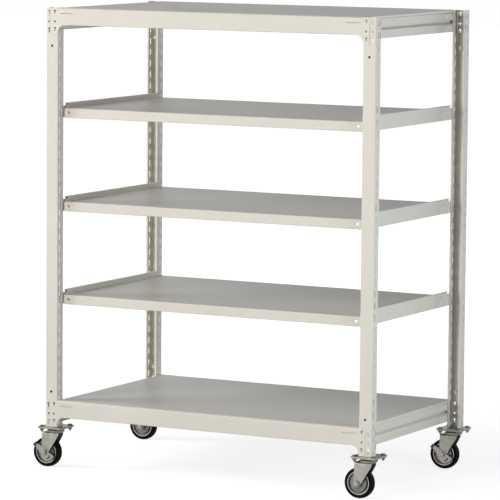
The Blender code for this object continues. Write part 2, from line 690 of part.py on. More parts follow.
def make_foot_plate(end, side, x, y, material):
    """The plate on the foot of a post, with four bolt holes."""
    top = FOOT_PLATE_BASE + PLATE_WALL
    plate = place(f"foot_plate_{end}_{side}", prism(plate_outline(x, y), "z", FOOT_PLATE_BASE, top), material)
    cutters = bmesh.new()
    for center in bolt_places(x, y):
        hole = ring_outline(center, BOLT_RADIUS + CLEARANCE, BOLT_SEGMENTS)
        add_prism(cutters, hole, "z", FOOT_PLATE_BASE - OVERRUN, top + OVERRUN)
    return combine(plate, mesh_from(cutters), "DIFFERENCE")


def make_caster_plate(end, side, x, y, material):
    """A caster's plate with its upper race, kingpin, bolts and nuts."""
    under = CASTER_HEIGHT - PLATE_WALL
    middle = CASTER_HEIGHT - PLATE_WALL / 2
    plate = place(f"caster_plate_{end}_{side}", prism(plate_outline(x, y), "z", under, CASTER_HEIGHT), material)
    race = [(RACE_BORE_RADIUS, middle), (UPPER_RACE_RADIUS, middle), (UPPER_RACE_RADIUS, under - RACE_HEIGHT),
            (RACE_BORE_RADIUS, under - RACE_HEIGHT)]
    combine(plate, turned(race, "z", (x, y, 0), RACE_SEGMENTS), "UNION")
    crown_under = CROWN_TOP - FORK_WALL - CLEARANCE
    pin = [(0, middle), (KINGPIN_RADIUS, middle), (KINGPIN_RADIUS, crown_under),
           (KINGPIN_HEAD_RADIUS, crown_under), (KINGPIN_HEAD_RADIUS, crown_under - KINGPIN_HEAD_HEIGHT),
           (0, crown_under - KINGPIN_HEAD_HEIGHT)]
    combine(plate, turned(pin, "z", (x, y, 0), SHAFT_SEGMENTS), "UNION")
    head_under = FOOT_PLATE_BASE + PLATE_WALL + CLEARANCE
    tail = under - BOLT_NUT - BOLT_TAIL
    shanks = bmesh.new()
    heads = bmesh.new()
    nuts = bmesh.new()
    for center in bolt_places(x, y):
        add_prism(shanks, ring_outline(center, BOLT_RADIUS, BOLT_SEGMENTS), "z", tail, head_under + BOLT_HEAD / 2)
        add_prism(heads, hexagon(center, BOLT_FLATS), "z", head_under, head_under + BOLT_HEAD)
        add_prism(nuts, hexagon(center, BOLT_FLATS), "z", middle, under - BOLT_NUT)
    for pieces in (shanks, heads, nuts):
        combine(plate, mesh_from(pieces), "UNION")
    return plate


def set_origin(thing, point):
    """Move an object's origin without moving the object."""
    for vertex in thing.data.vertices:
        vertex.co -= Vector(point)
    thing.location = point
    return thing


def make_fork(end, side, x, y, braked, material):
    """A fork: a pressed crown and two creased legs, with the lower race and the axle."""
    axle_x = x - CASTER_TRAIL
    path = [(-LEG_OUTER, 0), (-LEG_OUTER, CROWN_TOP), (LEG_OUTER, CROWN_TOP), (LEG_OUTER, 0)]
    section = sheet_section(path, FORK_WALL, FORK_BEND)
    shape = bmesh.new()
    rings = []
    for ahead, inset in ((-FORK_REAR - OVERRUN, 0), (-FORK_CREASE, 0), (FORK_FRONT, FORK_TAPER)):
        narrow = 1 - inset / LEG_OUTER
        rings.append([shape.verts.new((x + ahead, y + across * narrow, z)) for across, z in section])
    count = len(section)
    for near, far in zip(rings, rings[1:]):
        for i in range(count):
            j = (i + 1) % count
            shape.faces.new((near[i], near[j], far[j], far[i]))
    shape.faces.new(rings[0])
    shape.faces.new(rings[-1])
    fork = place(f"fork_{end}_{side}", mesh_from(shape), material)
    slant = math.radians(-FORK_SLANT_DEGREES)
    top = CROWN_TOP + OVERRUN
    leg = [(x - FORK_REAR, top), (x + FORK_FRONT + OVERRUN, top),
           (x + FORK_FRONT + OVERRUN, CROWN_TOP - FORK_SHOULDER)]
    leg += arc((axle_x, WHEEL_RADIUS), FORK_END_RADIUS, slant, -math.pi, 3 * ARC_STEPS)
    combine(fork, prism(leg, "y", y - LEG_OUTER - OVERRUN, y + LEG_OUTER + OVERRUN), "INTERSECT")
    race_top = CROWN_TOP + LOWER_RACE_HEIGHT
    race = [(0, CROWN_TOP - FORK_WALL / 2), (LOWER_RACE_RADIUS - RACE_CHAMFER, CROWN_TOP - FORK_WALL / 2),
            (LOWER_RACE_RADIUS, CROWN_TOP + RACE_CHAMFER), (LOWER_RACE_RADIUS, race_top), (0, race_top)]
    combine(fork, turned(race, "z", (x, y, 0), RACE_SEGMENTS), "UNION")
    bore = ring_outline((x, y), bore_radius(KINGPIN_RADIUS), SHAFT_SEGMENTS)
    combine(fork, prism(bore, "z", CROWN_TOP - FORK_WALL - OVERRUN, race_top + OVERRUN), "DIFFERENCE")
    nut_end = NUT_BACK + AXLE_NUT_HEIGHT
    axle_end = nut_end + AXLE_TAIL
    axle = [(0, -axle_end), (AXLE_RADIUS, -axle_end), (AXLE_RADIUS, axle_end), (0, axle_end)]
    combine(fork, turned(axle, "y", (axle_x, y, WHEEL_RADIUS), SHAFT_SEGMENTS), "UNION")
    nuts = bmesh.new()
    bosses = bmesh.new()
    for y_side in (-1, 1):
        add_prism(nuts, hexagon((axle_x, WHEEL_RADIUS), AXLE_NUT_FLATS), "y",
                  y + y_side * NUT_BACK, y + y_side * nut_end)
        if not (braked and y_side < 0):
            add_prism(bosses, ring_outline((axle_x, WHEEL_RADIUS), BOSS_RADIUS, SHAFT_SEGMENTS), "y",
                      y + y_side * (LEG_OUTER - FORK_WALL / 2), y + y_side * (NUT_BACK + AXLE_TAIL))
    combine(fork, mesh_from(nuts), "UNION")
    combine(fork, mesh_from(bosses), "UNION")
    return set_origin(fork, (x, y, CROWN_TOP))


def make_wheel(end, side, x, y, material):
    """A wheel's steel disc: a hub, a stepped face, a deep ring groove and a rim."""
    face = WHEEL_WIDTH / 2 - RIM_INSET
    low = face - WHEEL_STEP_DEPTH
    floor = face - DISH_DEPTH
    hub = FORK_GAP - HUB_PLAY
    bore = AXLE_RADIUS + CLEARANCE
    half = [(bore, hub), (HUB_RADIUS, hub), (HUB_RADIUS, face), (WHEEL_STEP_RADIUS, face),
            (WHEEL_STEP_RADIUS + WHEEL_STEP_DEPTH, low), (WHEEL_FACE_RADIUS, low),
            (GROOVE_INNER_RADIUS, floor), (RIM_INNER_RADIUS, floor), (RIM_INNER_RADIUS, face),
            (TYRE_BORE - CLEARANCE, face)]
    profile = half + [(radius, -along) for radius, along in half[::-1]]
    center = (x - CASTER_TRAIL, y, WHEEL_RADIUS)
    wheel = place(f"wheel_{end}_{side}", turned(profile, "y", center, WHEEL_SEGMENTS), material, smooth=True)
    return set_origin(wheel, center)


def make_tyre(end, side, x, y, material):
    """A wheel's solid tyre, with a slightly crowned tread."""
    half = WHEEL_WIDTH / 2
    soft = TYRE_DEPTH / 4
    profile = [(TYRE_BORE, half), (WHEEL_RADIUS - soft, half), (WHEEL_RADIUS - TREAD_CROWN, half - soft),
               (WHEEL_RADIUS, 0), (WHEEL_RADIUS - TREAD_CROWN, soft - half), (WHEEL_RADIUS - soft, -half),
               (TYRE_BORE, -half)]
    center = (x - CASTER_TRAIL, y, WHEEL_RADIUS)
    tyre = place(f"tyre_{end}_{side}", turned(profile, "y", center, WHEEL_SEGMENTS), material, smooth=True)
    return set_origin(tyre, center)


def lever_outline(x):
    """The brake lever: a hub, an arm towards the pedal and a cam that swells downwards."""
    center = (x, WHEEL_RADIUS)
    lean = math.radians(LEVER_ARM_DEGREES)
    start = math.radians(LEVER_LOBE_START_DEGREES)
    end = math.radians(LEVER_LOBE_END_DEGREES)
    points = []
    for across, along in ((-LEVER_ARM_HALF, 0), (-LEVER_ARM_HALF, LEVER_ARM_LENGTH),
                          (LEVER_ARM_HALF, LEVER_ARM_LENGTH), (LEVER_ARM_HALF, 0)):
        reach = math.sqrt(LEVER_HUB_RADIUS ** 2 - LEVER_ARM_HALF ** 2) if along == 0 else along
        points.append((center[0] + reach * math.cos(lean) - across * math.sin(lean),
                       center[1] + reach * math.sin(lean) + across * math.cos(lean)))
    steps = 5 * ARC_STEPS
    for i in range(steps + 1):
        share = i / steps
        radius = LEVER_HUB_RADIUS + (LEVER_LOBE_RADIUS - LEVER_HUB_RADIUS) * share
        angle = start + (end - start) * share
        points.append((center[0] + radius * math.cos(angle), center[1] + radius * math.sin(angle)))
    sweep = math.asin(LEVER_ARM_HALF / LEVER_HUB_RADIUS)
    points += arc(center, LEVER_HUB_RADIUS, end + math.radians(25), 2 * math.pi + lean - sweep, 2 * ARC_STEPS)[:-1]
    return points


def make_lever(end, side, x, y, material):
    """A brake lever: a flat cam plate on the axle, with a curved slot."""
    axle_x = x - CASTER_TRAIL
    back = y - LEVER_BACK
    face = back - LEVER_WALL
    lever = place(f"brake_lever_{end}_{side}", prism(lever_outline(axle_x), "y", back, face), material)
    center = (axle_x, WHEEL_RADIUS)
    start = math.radians(LEVER_SLOT_START_DEGREES)
    stop = math.radians(LEVER_SLOT_END_DEGREES)
    cutters = bmesh.new()
    slot = arc(center, LEVER_SLOT_RADIUS + LEVER_SLOT_WIDTH / 2, start, stop, 2 * ARC_STEPS)
    slot += arc(center, LEVER_SLOT_RADIUS - LEVER_SLOT_WIDTH / 2, stop, start, 2 * ARC_STEPS)
    add_prism(cutters, slot, "y", back + OVERRUN, face - OVERRUN)
    bore = ring_outline(center, bore_radius(AXLE_RADIUS), SHAFT_SEGMENTS)
    add_prism(cutters, bore, "y", back + OVERRUN, face - OVERRUN)
    combine(lever, mesh_from(cutters), "DIFFERENCE")
    return set_origin(lever, (axle_x, face, WHEEL_RADIUS))


def make_pedal(end, side, x, y, material):
    """The cap on the lever's end."""
    axle_x = x - CASTER_TRAIL
    lean = math.radians(LEVER_ARM_DEGREES)
    middle = y - LEVER_BACK - LEVER_WALL / 2
    half = LEVER_ARM_HALF + PEDAL_THICKNESS / 2
    start = LEVER_ARM_LENGTH - PEDAL_BITE
    slack = CLEARANCE

    def leaned(corners):
        """Corners across and along the arm, as world X and Z."""
        return [(axle_x + along * math.cos(lean) - across * math.sin(lean),
                 WHEEL_RADIUS + along * math.sin(lean) + across * math.cos(lean)) for across, along in corners]

    body = box_outline(-half, start, half, start + PEDAL_LENGTH)
    outline = round_corners(leaned(body), PEDAL_THICKNESS / 3, ARC_STEPS, closed=True)
    pedal = place(f"brake_pedal_{end}_{side}",
                  prism(outline, "y", middle - PEDAL_WIDTH / 2, middle + PEDAL_WIDTH / 2), material)
    pocket = box_outline(-LEVER_ARM_HALF - slack, start - OVERRUN, LEVER_ARM_HALF + slack,
                         LEVER_ARM_LENGTH + slack)
    deep = LEVER_WALL / 2 + slack
    combine(pedal, prism(leaned(pocket), "y", middle - deep, middle + deep), "DIFFERENCE")
    return set_origin(pedal, (axle_x, y - LEVER_BACK - LEVER_WALL, WHEEL_RADIUS))


def build():
    """Make every piece of the rack, from the posts down to the tyres."""
    clear_scene()
    post_paint = paint("post_paint", (0.62, 0.61, 0.56), 0.45, 0.0)
    beam_paint = paint("beam_paint", (0.78, 0.75, 0.68), 0.45, 0.0)
    deck_paint = paint("deck_paint", (0.42, 0.42, 0.42), 0.30, 0.0)
    zinc = paint("zinc", (0.52, 0.51, 0.47), 0.40, 0.8)
    steel = paint("wheel_steel", (0.48, 0.48, 0.47), 0.35, 0.8)
    tyre_rubber = paint("tyre_rubber", (0.02, 0.02, 0.02), 0.60, 0.0)
    pedal_plastic = paint("pedal_plastic", (0.02, 0.02, 0.02), 0.50, 0.0)
    for height, level in (("bottom", BOTTOM_LEVEL), ("top", TOP_LEVEL)):
        make_end_deck(height, level, deck_paint)
        for end, y_side in ENDS:
            make_beam(height, level, end, y_side, beam_paint)
        for side, x_side in SIDES:
            make_tie(height, level, side, x_side, beam_paint)
    for number, level in enumerate(shelf_levels(), 1):
        make_shelf(number, level, deck_paint)
        for side, x_side in SIDES:
            make_support(number, level, side, x_side, beam_paint)
    for end, y_side in ENDS:
        for side, x_side in SIDES:
            make_post(end, y_side, side, x_side, post_paint)
            x = rack_x(x_side * SWIVEL_X)
            y = y_side * SWIVEL_Y
            braked = (end, side) in BRAKED
            make_foot_plate(end, side, x, y, zinc)
            make_caster_plate(end, side, x, y, zinc)
            make_fork(end, side, x, y, braked, zinc)
            make_wheel(end, side, x, y, steel)
            make_tyre(end, side, x, y, tyre_rubber)
            if braked:
                make_lever(end, side, x, y, zinc)
                make_pedal(end, side, x, y, pedal_plastic)


build()
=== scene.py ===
import math

import bpy
from mathutils import Matrix, Vector


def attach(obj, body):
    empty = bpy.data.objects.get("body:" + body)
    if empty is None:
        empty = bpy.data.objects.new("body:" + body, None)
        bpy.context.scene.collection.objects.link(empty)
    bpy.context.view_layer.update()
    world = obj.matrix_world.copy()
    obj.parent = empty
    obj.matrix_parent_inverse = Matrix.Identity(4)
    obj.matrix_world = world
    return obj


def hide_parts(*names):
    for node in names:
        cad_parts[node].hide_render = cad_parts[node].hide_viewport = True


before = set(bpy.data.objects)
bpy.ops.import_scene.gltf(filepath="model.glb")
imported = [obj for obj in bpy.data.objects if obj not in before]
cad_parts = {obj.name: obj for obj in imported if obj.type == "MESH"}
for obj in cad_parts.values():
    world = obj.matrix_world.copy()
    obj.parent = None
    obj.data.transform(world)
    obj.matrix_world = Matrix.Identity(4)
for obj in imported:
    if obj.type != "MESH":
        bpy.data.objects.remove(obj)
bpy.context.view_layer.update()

scene = bpy.context.scene
scene.view_settings.view_transform = "Standard"

# The camera stands a long way off to the right of the front, a little above the top
# deck, with a long lens, so that the posts stay almost parallel.
camera_data = bpy.data.cameras.new("viewpoint")
camera_data.sensor_width = 36.0
camera_data.lens = 252.03
camera_data.shift_x = 0.01183
camera_data.shift_y = -0.03876
camera_data.clip_end = 100.0
viewpoint = bpy.data.objects.new("viewpoint", camera_data)
scene.collection.objects.link(viewpoint)
viewpoint.matrix_world = Matrix((
    (0.88182104, -0.05605983, 0.46824028, 5.4083),
    (0.47151325, 0.08758820, -0.87749847, -10.1907),
    (0.00818009, 0.99457810, 0.10367007, 1.9974),
    (0.0, 0.0, 0.0, 1.0),
))
scene.camera = viewpoint

# The studio is a plain white floor under soft lamps. Two warm ones face the front, low
# and high, others stand at the sides and the rear, and the sky only fills the shade.
# The floor is seen nearly white by the rack, where it keeps a shadow, and white beyond.
FLOOR_WIDTH = 60.0
FLOOR_PAINT = (0.50, 0.50, 0.50, 1.0)
NEAR, FAR, NEAR_GLOW = 1.0, 3.2, 0.78
WHITE = (1.0, 1.0, 1.0, 1.0)
SKY_FILL, SKY_COLOR = 0.12, (0.90, 0.95, 1.0, 1.0)


def bare_tree(owner, kind):
    """Clear the nodes of a material or a world, and give it a new output."""
    owner.use_nodes = True
    owner.node_tree.nodes.clear()
    return owner.node_tree, owner.node_tree.nodes.new(kind)


def seen_rays(tree):
    """A value of 1 for camera, glossy and transmission rays, and 0 for other rays."""
    path = tree.nodes.new("ShaderNodeLightPath")
    seen = path.outputs["Is Camera Ray"]
    for title in ("Is Glossy Ray", "Is Transmission Ray"):
        larger = tree.nodes.new("ShaderNodeMath")
        larger.operation = "MAXIMUM"
        tree.links.new(seen, larger.inputs[0])
        tree.links.new(path.outputs[title], larger.inputs[1])
        seen = larger.outputs[0]
    return seen


bpy.ops.object.select_all(action="DESELECT")
bpy.ops.mesh.primitive_plane_add(size=FLOOR_WIDTH, location=(0.0, 0.0, 0.0))
floor = bpy.context.object
floor.name = "studio_floor"
floor_paint = bpy.data.materials.new("studio_floor_white")
tree, out = bare_tree(floor_paint, "ShaderNodeOutputMaterial")
matt = tree.nodes.new("ShaderNodeBsdfDiffuse")
matt.inputs["Color"].default_value = FLOOR_PAINT
glow = tree.nodes.new("ShaderNodeEmission")
glow.inputs["Color"].default_value = WHITE
place = tree.nodes.new("ShaderNodeTexCoord")
reach = tree.nodes.new("ShaderNodeVectorMath")
reach.operation = "LENGTH"
whiter = tree.nodes.new("ShaderNodeMapRange")
for title, value in (("From Min", NEAR), ("From Max", FAR), ("To Min", NEAR_GLOW), ("To Max", 1.0)):
    whiter.inputs[title].default_value = value
strength = tree.nodes.new("ShaderNodeMath")
strength.operation = "MULTIPLY"
both = tree.nodes.new("ShaderNodeAddShader")
for source, socket in (
        (place.outputs["Object"], reach.inputs[0]),
        (reach.outputs["Value"], whiter.inputs["Value"]),
        (seen_rays(tree), strength.inputs[0]), (whiter.outputs["Result"], strength.inputs[1]),
        (strength.outputs[0], glow.inputs["Strength"]), (matt.outputs[0], both.inputs[0]),
        (glow.outputs[0], both.inputs[1]), (both.outputs[0], out.inputs["Surface"])):
    tree.links.new(source, socket)
floor.data.materials.append(floor_paint)

sky = bpy.data.worlds.new("studio_sky")
scene.world = sky
tree, out = bare_tree(sky, "ShaderNodeOutputWorld")
mix = tree.nodes.new("ShaderNodeMixShader")
tree.links.new(seen_rays(tree), mix.inputs[0])
for slot_number, color, level in ((1, SKY_COLOR, SKY_FILL), (2, WHITE, 1.0)):
    background = tree.nodes.new("ShaderNodeBackground")
    background.inputs["Color"].default_value = color
    background.inputs["Strength"].default_value = level
    tree.links.new(background.outputs[0], mix.inputs[slot_number])
tree.links.new(mix.outputs[0], out.inputs["Surface"])


def soft_lamp(name, place, aim, size, watts, color):
    """A square soft lamp that faces a point of the rack."""
    data = bpy.data.lights.new(name, "AREA")
    data.shape = "SQUARE"
    data.size = size
    data.energy = watts
    data.color = color
    lamp = bpy.data.objects.new(name, data)
    scene.collection.objects.link(lamp)
    lamp.location = place
    lamp.rotation_euler = (Vector(aim) - Vector(place)).to_track_quat("-Z", "Y").to_euler()


soft_lamp("front_lamp", (-3.6, -11.7, 1.4), (0.0, 0.0, 0.6), 4.5, 555.0, (1.0, 0.945, 0.868))
soft_lamp("high_lamp", (-3.0, -7.5, 5.5), (0.0, 0.0, 0.7), 2.5, 140.0, (1.0, 0.955, 0.89))
soft_lamp("left_lamp", (-3.9, -1.9, 2.3), (-0.5, 0.0, 0.8), 1.6, 95.0, (0.97, 0.99, 1.0))
soft_lamp("right_lamp", (2.9, -1.0, 0.75), (0.6, 0.0, 0.75), 1.2, 34.0, (0.91, 0.98, 1.0))
soft_lamp("rear_lamp", (2.5, 10.0, 3.0), (0.0, 0.0, 0.7), 4.0, 170.0, (1.0, 0.98, 0.95))

# The posts are lipped channels folded from 1.8 mm steel sheet, slotted down both flanges
# and holed in the web, with closed nuts behind two holes whose bores are dark painted shade.
# One coat of pale powder paint, baked on, covers the rest and rounds every fold a little.
MIDDLE = 0.018
OUTER, INNER, FRONT = 0.6018, 0.5571, 0.3513
FOOT, BOTTOM, TOP = 0.140, 0.230, 1.530
CORNERS = [(end, side) for end in ("front", "rear") for side in ("left", "right")]
POST_WIDTH, POST_DEPTH, POST_LIP = 0.0447, 0.037, 0.0065
POST_WALL, POST_BEND = 0.0018, 0.0028
SLOT_FIRST, SLOT_STEP, SLOT_COUNT = 0.15630, 0.03865, 36
SLOT_HALF, SLOT_ROUND, PAST = 0.011, 0.0026, 0.005
HOLE_RADIUS, HOLE_DROP, KEYHOLE_DROPS = 0.0035, 0.045, (0.017, 0.073)
NUT_HEIGHTS = (BOTTOM + 0.028, TOP - 0.125)
NUT_RADIUS, NUT_BORE, NUT_LENGTH = 0.0060, 0.0040, 0.0205
OUTER_COLUMN, INNER_COLUMN = OUTER - POST_WIDTH * 0.25, OUTER - POST_WIDTH * 0.75
MIDDLE_COLUMN = OUTER - POST_WIDTH / 2
WEB = -FRONT


def only(piece):
    """Leave one piece selected and active, in object mode."""
    if bpy.context.object and bpy.context.object.mode != "OBJECT":
        bpy.ops.object.mode_set(mode="OBJECT")
    bpy.ops.object.select_all(action="DESELECT")
    piece.select_set(True)
    bpy.context.view_layer.objects.active = piece
    return piece


def open_all(piece):
    """Open a piece in edit mode with all of it selected."""
    only(piece)
    bpy.ops.object.mode_set(mode="EDIT")
    bpy.ops.mesh.select_all(action="SELECT")


def close(piece):
    """Leave edit mode."""
    bpy.ops.object.mode_set(mode="OBJECT")
    return piece


def pick(piece, kind, wanted):
    """Select the points or the edges that a test accepts, in edit mode."""
    only(piece)
    mesh = piece.data
    for group in (mesh.vertices, mesh.edges, mesh.polygons):
        group.foreach_set("select", [False] * len(group))
    if kind == "VERT":
        for point in mesh.vertices:
            point.select = wanted(point.co)
    else:
        for edge in mesh.edges:
            edge.select = wanted(*(mesh.vertices[end].co for end in edge.vertices))
    scene.tool_settings.mesh_select_mode = (kind == "VERT", kind == "EDGE", False)
    bpy.ops.object.mode_set(mode="EDIT")


def put_away(*pieces):
    """Delete the models that copies and cuts were made from."""
    for piece in pieces:
        bpy.data.objects.remove(piece, do_unlink=True)


def fix_place(name):
    """Name a new primitive and put its place into its mesh."""
    piece = bpy.context.object
    piece.name = name
    bpy.ops.object.transform_apply(location=True, rotation=True, scale=True)
    return piece


def draw_line(name, points):
    """Draw a line of edges by pulling one point from place to place."""
    bpy.ops.object.select_all(action="DESELECT")
    bpy.ops.mesh.primitive_plane_add(size=0.001, location=points[0])
    piece = fix_place(name)
    scene.tool_settings.mesh_select_mode = (True, False, False)
    open_all(piece)
    bpy.ops.mesh.merge(type="CENTER")
    for before, after in zip(points, points[1:]):
        step = Vector(after) - Vector(before)
        bpy.ops.mesh.extrude_region_move(TRANSFORM_OT_translate={"value": step})
    bpy.ops.mesh.select_all(action="SELECT")
    bpy.ops.mesh.remove_doubles(threshold=0.00001)
    return close(piece)


def round_points(piece, places, radius, segments):
    """Round a drawn line at the places given."""
    pick(piece, "VERT", lambda co: any((co - Vector(place)).length < 0.00005 for place in places))
    bpy.ops.mesh.bevel(offset=radius, offset_type="ABSOLUTE", segments=segments, affect="VERTICES")
    return close(piece)


def pull_out(piece, run):
    """Draw a line or a flat face out along a run."""
    open_all(piece)
    bpy.ops.mesh.extrude_region_move(TRANSFORM_OT_translate={"value": run})
    bpy.ops.mesh.select_all(action="SELECT")
    bpy.ops.mesh.normals_make_consistent(inside=False)
    return close(piece)


def thicken(piece, wall, outwards):
    """Turn a sheet's widest face the right way and give the sheet its wall, inwards."""
    direction = Vector(outwards)
    facing = [face for face in piece.data.polygons if abs(face.normal.dot(direction)) > 0.9]
    if max(facing, key=lambda face: face.area).normal.dot(direction) < 0:
        open_all(piece)
        bpy.ops.mesh.flip_normals()
        close(piece)
    shell = piece.modifiers.new("wall", "SOLIDIFY")
    shell.thickness = wall
    shell.offset = -1.0
    shell.use_even_offset = True
    only(piece)
    bpy.ops.object.modifier_apply(modifier=shell.name)
    return piece


def fold_sheet(name, path, run, wall, radii, outwards, segments=4):
    """Fold a sheet along a path, draw it out to its length and give it a wall."""
    piece = draw_line(name, path)
    for index, corner in enumerate(path[1:-1]):
        round_points(piece, [corner], radii[index % len(radii)], segments)
    pull_out(piece, run)
    return thicken(piece, wall, outwards)


def flat_sheet(name, outline, run, rounded=()):
    """Cut a flat plate to an outline, with some corners rounded, and draw out its wall."""
    piece = draw_line(name, list(outline) + [outline[0]])
    for places, radius, segments in rounded:
        round_points(piece, places, radius, segments)
    open_all(piece)
    bpy.ops.mesh.edge_face_add()
    return pull_out(close(piece), run)


def block(name, corner, far_corner):
    """A cube drawn out between two corners."""
    near, far = Vector(corner), Vector(far_corner)
    bpy.ops.object.select_all(action="DESELECT")
    bpy.ops.mesh.primitive_cube_add(size=1.0, location=(near + far) / 2)
    bpy.context.object.scale = [abs(length) for length in far - near]
    return fix_place(name)


def round_along(piece, axis, width, segments):
    """Round the edges of a piece that run along one axis."""
    pick(piece, "EDGE", lambda a, b: abs((b - a).normalized()[axis]) > 0.99)
    bpy.ops.mesh.bevel(offset=width, segments=segments, affect="EDGES")
    return close(piece)


def peg(name, center, radius, length, axis, sides=20):
    """A cylinder across a place, for round holes, bolts and nuts."""
    rotation = {"y": (math.pi / 2, 0.0, 0.0), "z": (0.0, 0.0, 0.0)}[axis]
    bpy.ops.object.select_all(action="DESELECT")
    bpy.ops.mesh.primitive_cylinder_add(vertices=sides, radius=radius, depth=length,
                                        location=center, rotation=rotation)
    return fix_place(name)


def gather(pieces):
    """Join pieces that don't touch into one."""
    only(pieces[0])
    for piece in pieces:
        piece.select_set(True)
    if len(pieces) > 1:
        bpy.ops.object.join()
    return bpy.context.object


def work(piece, tools, operation="DIFFERENCE"):
    """Cut tools out of a piece or join them on, and put the tools away."""
    tool = gather(tools)
    cut = piece.modifiers.new("work", "BOOLEAN")
    cut.solver = "EXACT"
    cut.operation = operation
    cut.object = tool
    only(piece)
    bpy.ops.object.modifier_apply(modifier=cut.name)
    put_away(tool)
    return piece


def soften(piece, width=0.0, segments=2, limit=40.0):
    """Ease the sharp edges, then shade the folds smooth and keep the flats flat."""
    if width:
        eased = piece.modifiers.new("eased", "BEVEL")
        eased.width = width
        eased.segments = segments
        eased.limit_method = "ANGLE"
        eased.angle_limit = math.radians(limit)
        only(piece)
        bpy.ops.object.modifier_apply(modifier=eased.name)
    only(piece)
    bpy.ops.object.shade_smooth_by_angle(angle=math.radians(32.0))
    flats = piece.modifiers.new("flats", "WEIGHTED_NORMAL")
    flats.keep_sharp = True
    flats.weight = 100
    bpy.ops.object.modifier_apply(modifier=flats.name)
    return piece


def copy_across(piece, name, shift=(0.0, 0.0, 0.0), flip_x=False, flip_y=False):
    """A copy with its own mesh, moved or mirrored about the rack's middle."""
    twin = piece.copy()
    twin.data = piece.data.copy()
    twin.name = name
    scene.collection.objects.link(twin)
    open_all(twin)
    if any(shift):
        bpy.ops.transform.translate(value=shift)
    for flip, value in ((flip_x, (-1.0, 1.0, 1.0)), (flip_y, (1.0, -1.0, 1.0))):
        if flip:
            bpy.ops.transform.resize(value=value, center_override=(MIDDLE, 0.0, 0.0))
    if flip_x or flip_y:
        bpy.ops.mesh.normals_make_consistent(inside=False)
    return close(twin)


def feed(tree, socket, value):
    """Set a socket to a number, or link it to another node."""
    if isinstance(value, float):
        socket.default_value = value
    else:
        tree.links.new(value, socket)


def noise(tree, place, scale, detail=2.0, distortion=0.0):
    """A noise on the given coordinates."""
    cloud = tree.nodes.new("ShaderNodeTexNoise")
    for title, value in (("Scale", scale), ("Detail", detail), ("Distortion", distortion),
                         ("Vector", place)):
        feed(tree, cloud.inputs[title], value)
    return cloud.outputs["Fac"]


def spread(tree, source, low, high, to_low=0.0, to_high=1.0):
    """Stretch a value from one range to another."""
    ramp = tree.nodes.new("ShaderNodeMapRange")
    for title, value in (("Value", source), ("From Min", low), ("From Max", high),
                         ("To Min", to_low), ("To Max", to_high)):
        feed(tree, ramp.inputs[title], value)
    return ramp.outputs["Result"]


def calculate(tree, operation, first, second):
    """One sum or product, kept between 0 and 1."""
    node = tree.nodes.new("ShaderNodeMath")
    node.operation = operation
    node.use_clamp = True
    feed(tree, node.inputs[0], first)
    feed(tree, node.inputs[1], second)
    return node.outputs[0]


def blend(tree, kind, amount, first, second):
    """A mix of two colours."""
    mix = tree.nodes.new("ShaderNodeMix")
    mix.data_type = "RGBA"
    mix.blend_type = kind
    for title, value in (("Factor", amount), ("A", first), ("B", second)):
        feed(tree, mix.inputs[title], value)
    return mix.outputs["Result"]


def sharp_edges(tree, radius, low, high):
    """A mask of sharp edges, where a rounded normal turns away from the true one."""
    rounded = tree.nodes.new("ShaderNodeBevel")
    rounded.samples = 4
    rounded.inputs["Radius"].default_value = radius
    turn = tree.nodes.new("ShaderNodeVectorMath")
    turn.operation = "DOT_PRODUCT"
    tree.links.new(rounded.outputs["Normal"], turn.inputs[0])
    tree.links.new(tree.nodes.new("ShaderNodeNewGeometry").outputs["Normal"], turn.inputs[1])
    return spread(tree, turn.outputs["Value"], low, high)


def start_group(name, colors, amounts):
    """A node group with its sockets, its two ends and the object's coordinates."""
    group = bpy.data.node_groups.new(name, "ShaderNodeTree")
    sockets = group.interface
    for title in colors:
        sockets.new_socket(title, in_out="INPUT", socket_type="NodeSocketColor")
    for title, value in amounts.items():
        amount = sockets.new_socket(title, in_out="INPUT", socket_type="NodeSocketFloat")
        amount.default_value = value
    for title, kind in (("Color", "Color"), ("Roughness", "Float"), ("Height", "Float")):
        sockets.new_socket(title, in_out="OUTPUT", socket_type=f"NodeSocket{kind}")
    place = group.nodes.new("ShaderNodeTexCoord").outputs["Object"]
    return group, group.nodes.new("NodeGroupInput").outputs, place


def close_group(group, color, roughness, height):
    """Link a node group's results to its output."""
    results = group.nodes.new("NodeGroupOutput").inputs
    for title, source in (("Color", color), ("Roughness", roughness), ("Height", height)):
        group.links.new(source, results[title])
    return group


def powder_group():
    """Powder paint: orange peel, thin rubbed edges, slow shifts of tone and fine dust."""
    group, given, place = start_group("powder_coat", ("Paint", "Rub", "Dust"), {
        "Rub amount": 0.3, "Dust amount": 0.2, "Peel scale": 900.0, "Dullness": 0.4})
    broad = noise(group, place, 5.0, 4.0)
    grain = noise(group, place, 60.0, 5.0)
    shift = spread(group, broad, 0.3, 0.7, 0.965, 1.02)
    tone = blend(group, "MULTIPLY", 1.0, given["Paint"], shift)
    edge = calculate(group, "MULTIPLY", sharp_edges(group, 0.0011, 0.995, 0.86),
                     spread(group, grain, 0.36, 0.62, 0.25, 1.0))
    edge = calculate(group, "MULTIPLY", edge, given["Rub amount"])
    tone = blend(group, "MIX", edge, tone, given["Rub"])
    upward = group.nodes.new("ShaderNodeSeparateXYZ")
    shape = group.nodes.new("ShaderNodeNewGeometry")
    group.links.new(shape.outputs["Normal"], upward.inputs[0])
    settled = calculate(group, "MULTIPLY", spread(group, upward.outputs["Z"], 0.6, 1.0),
                        spread(group, grain, 0.3, 0.75, 0.3, 1.0))
    settled = calculate(group, "MULTIPLY", settled, given["Dust amount"])
    tone = blend(group, "MIX", settled, tone, given["Dust"])
    dull = calculate(group, "ADD", given["Dullness"], spread(group, broad, 0.3, 0.7, 0.0, 0.05))
    dull = calculate(group, "ADD", dull, calculate(group, "MULTIPLY", settled, 0.35))
    return close_group(group, tone, dull, noise(group, place, given["Peel scale"], 2.0))


powder_coat = powder_group()


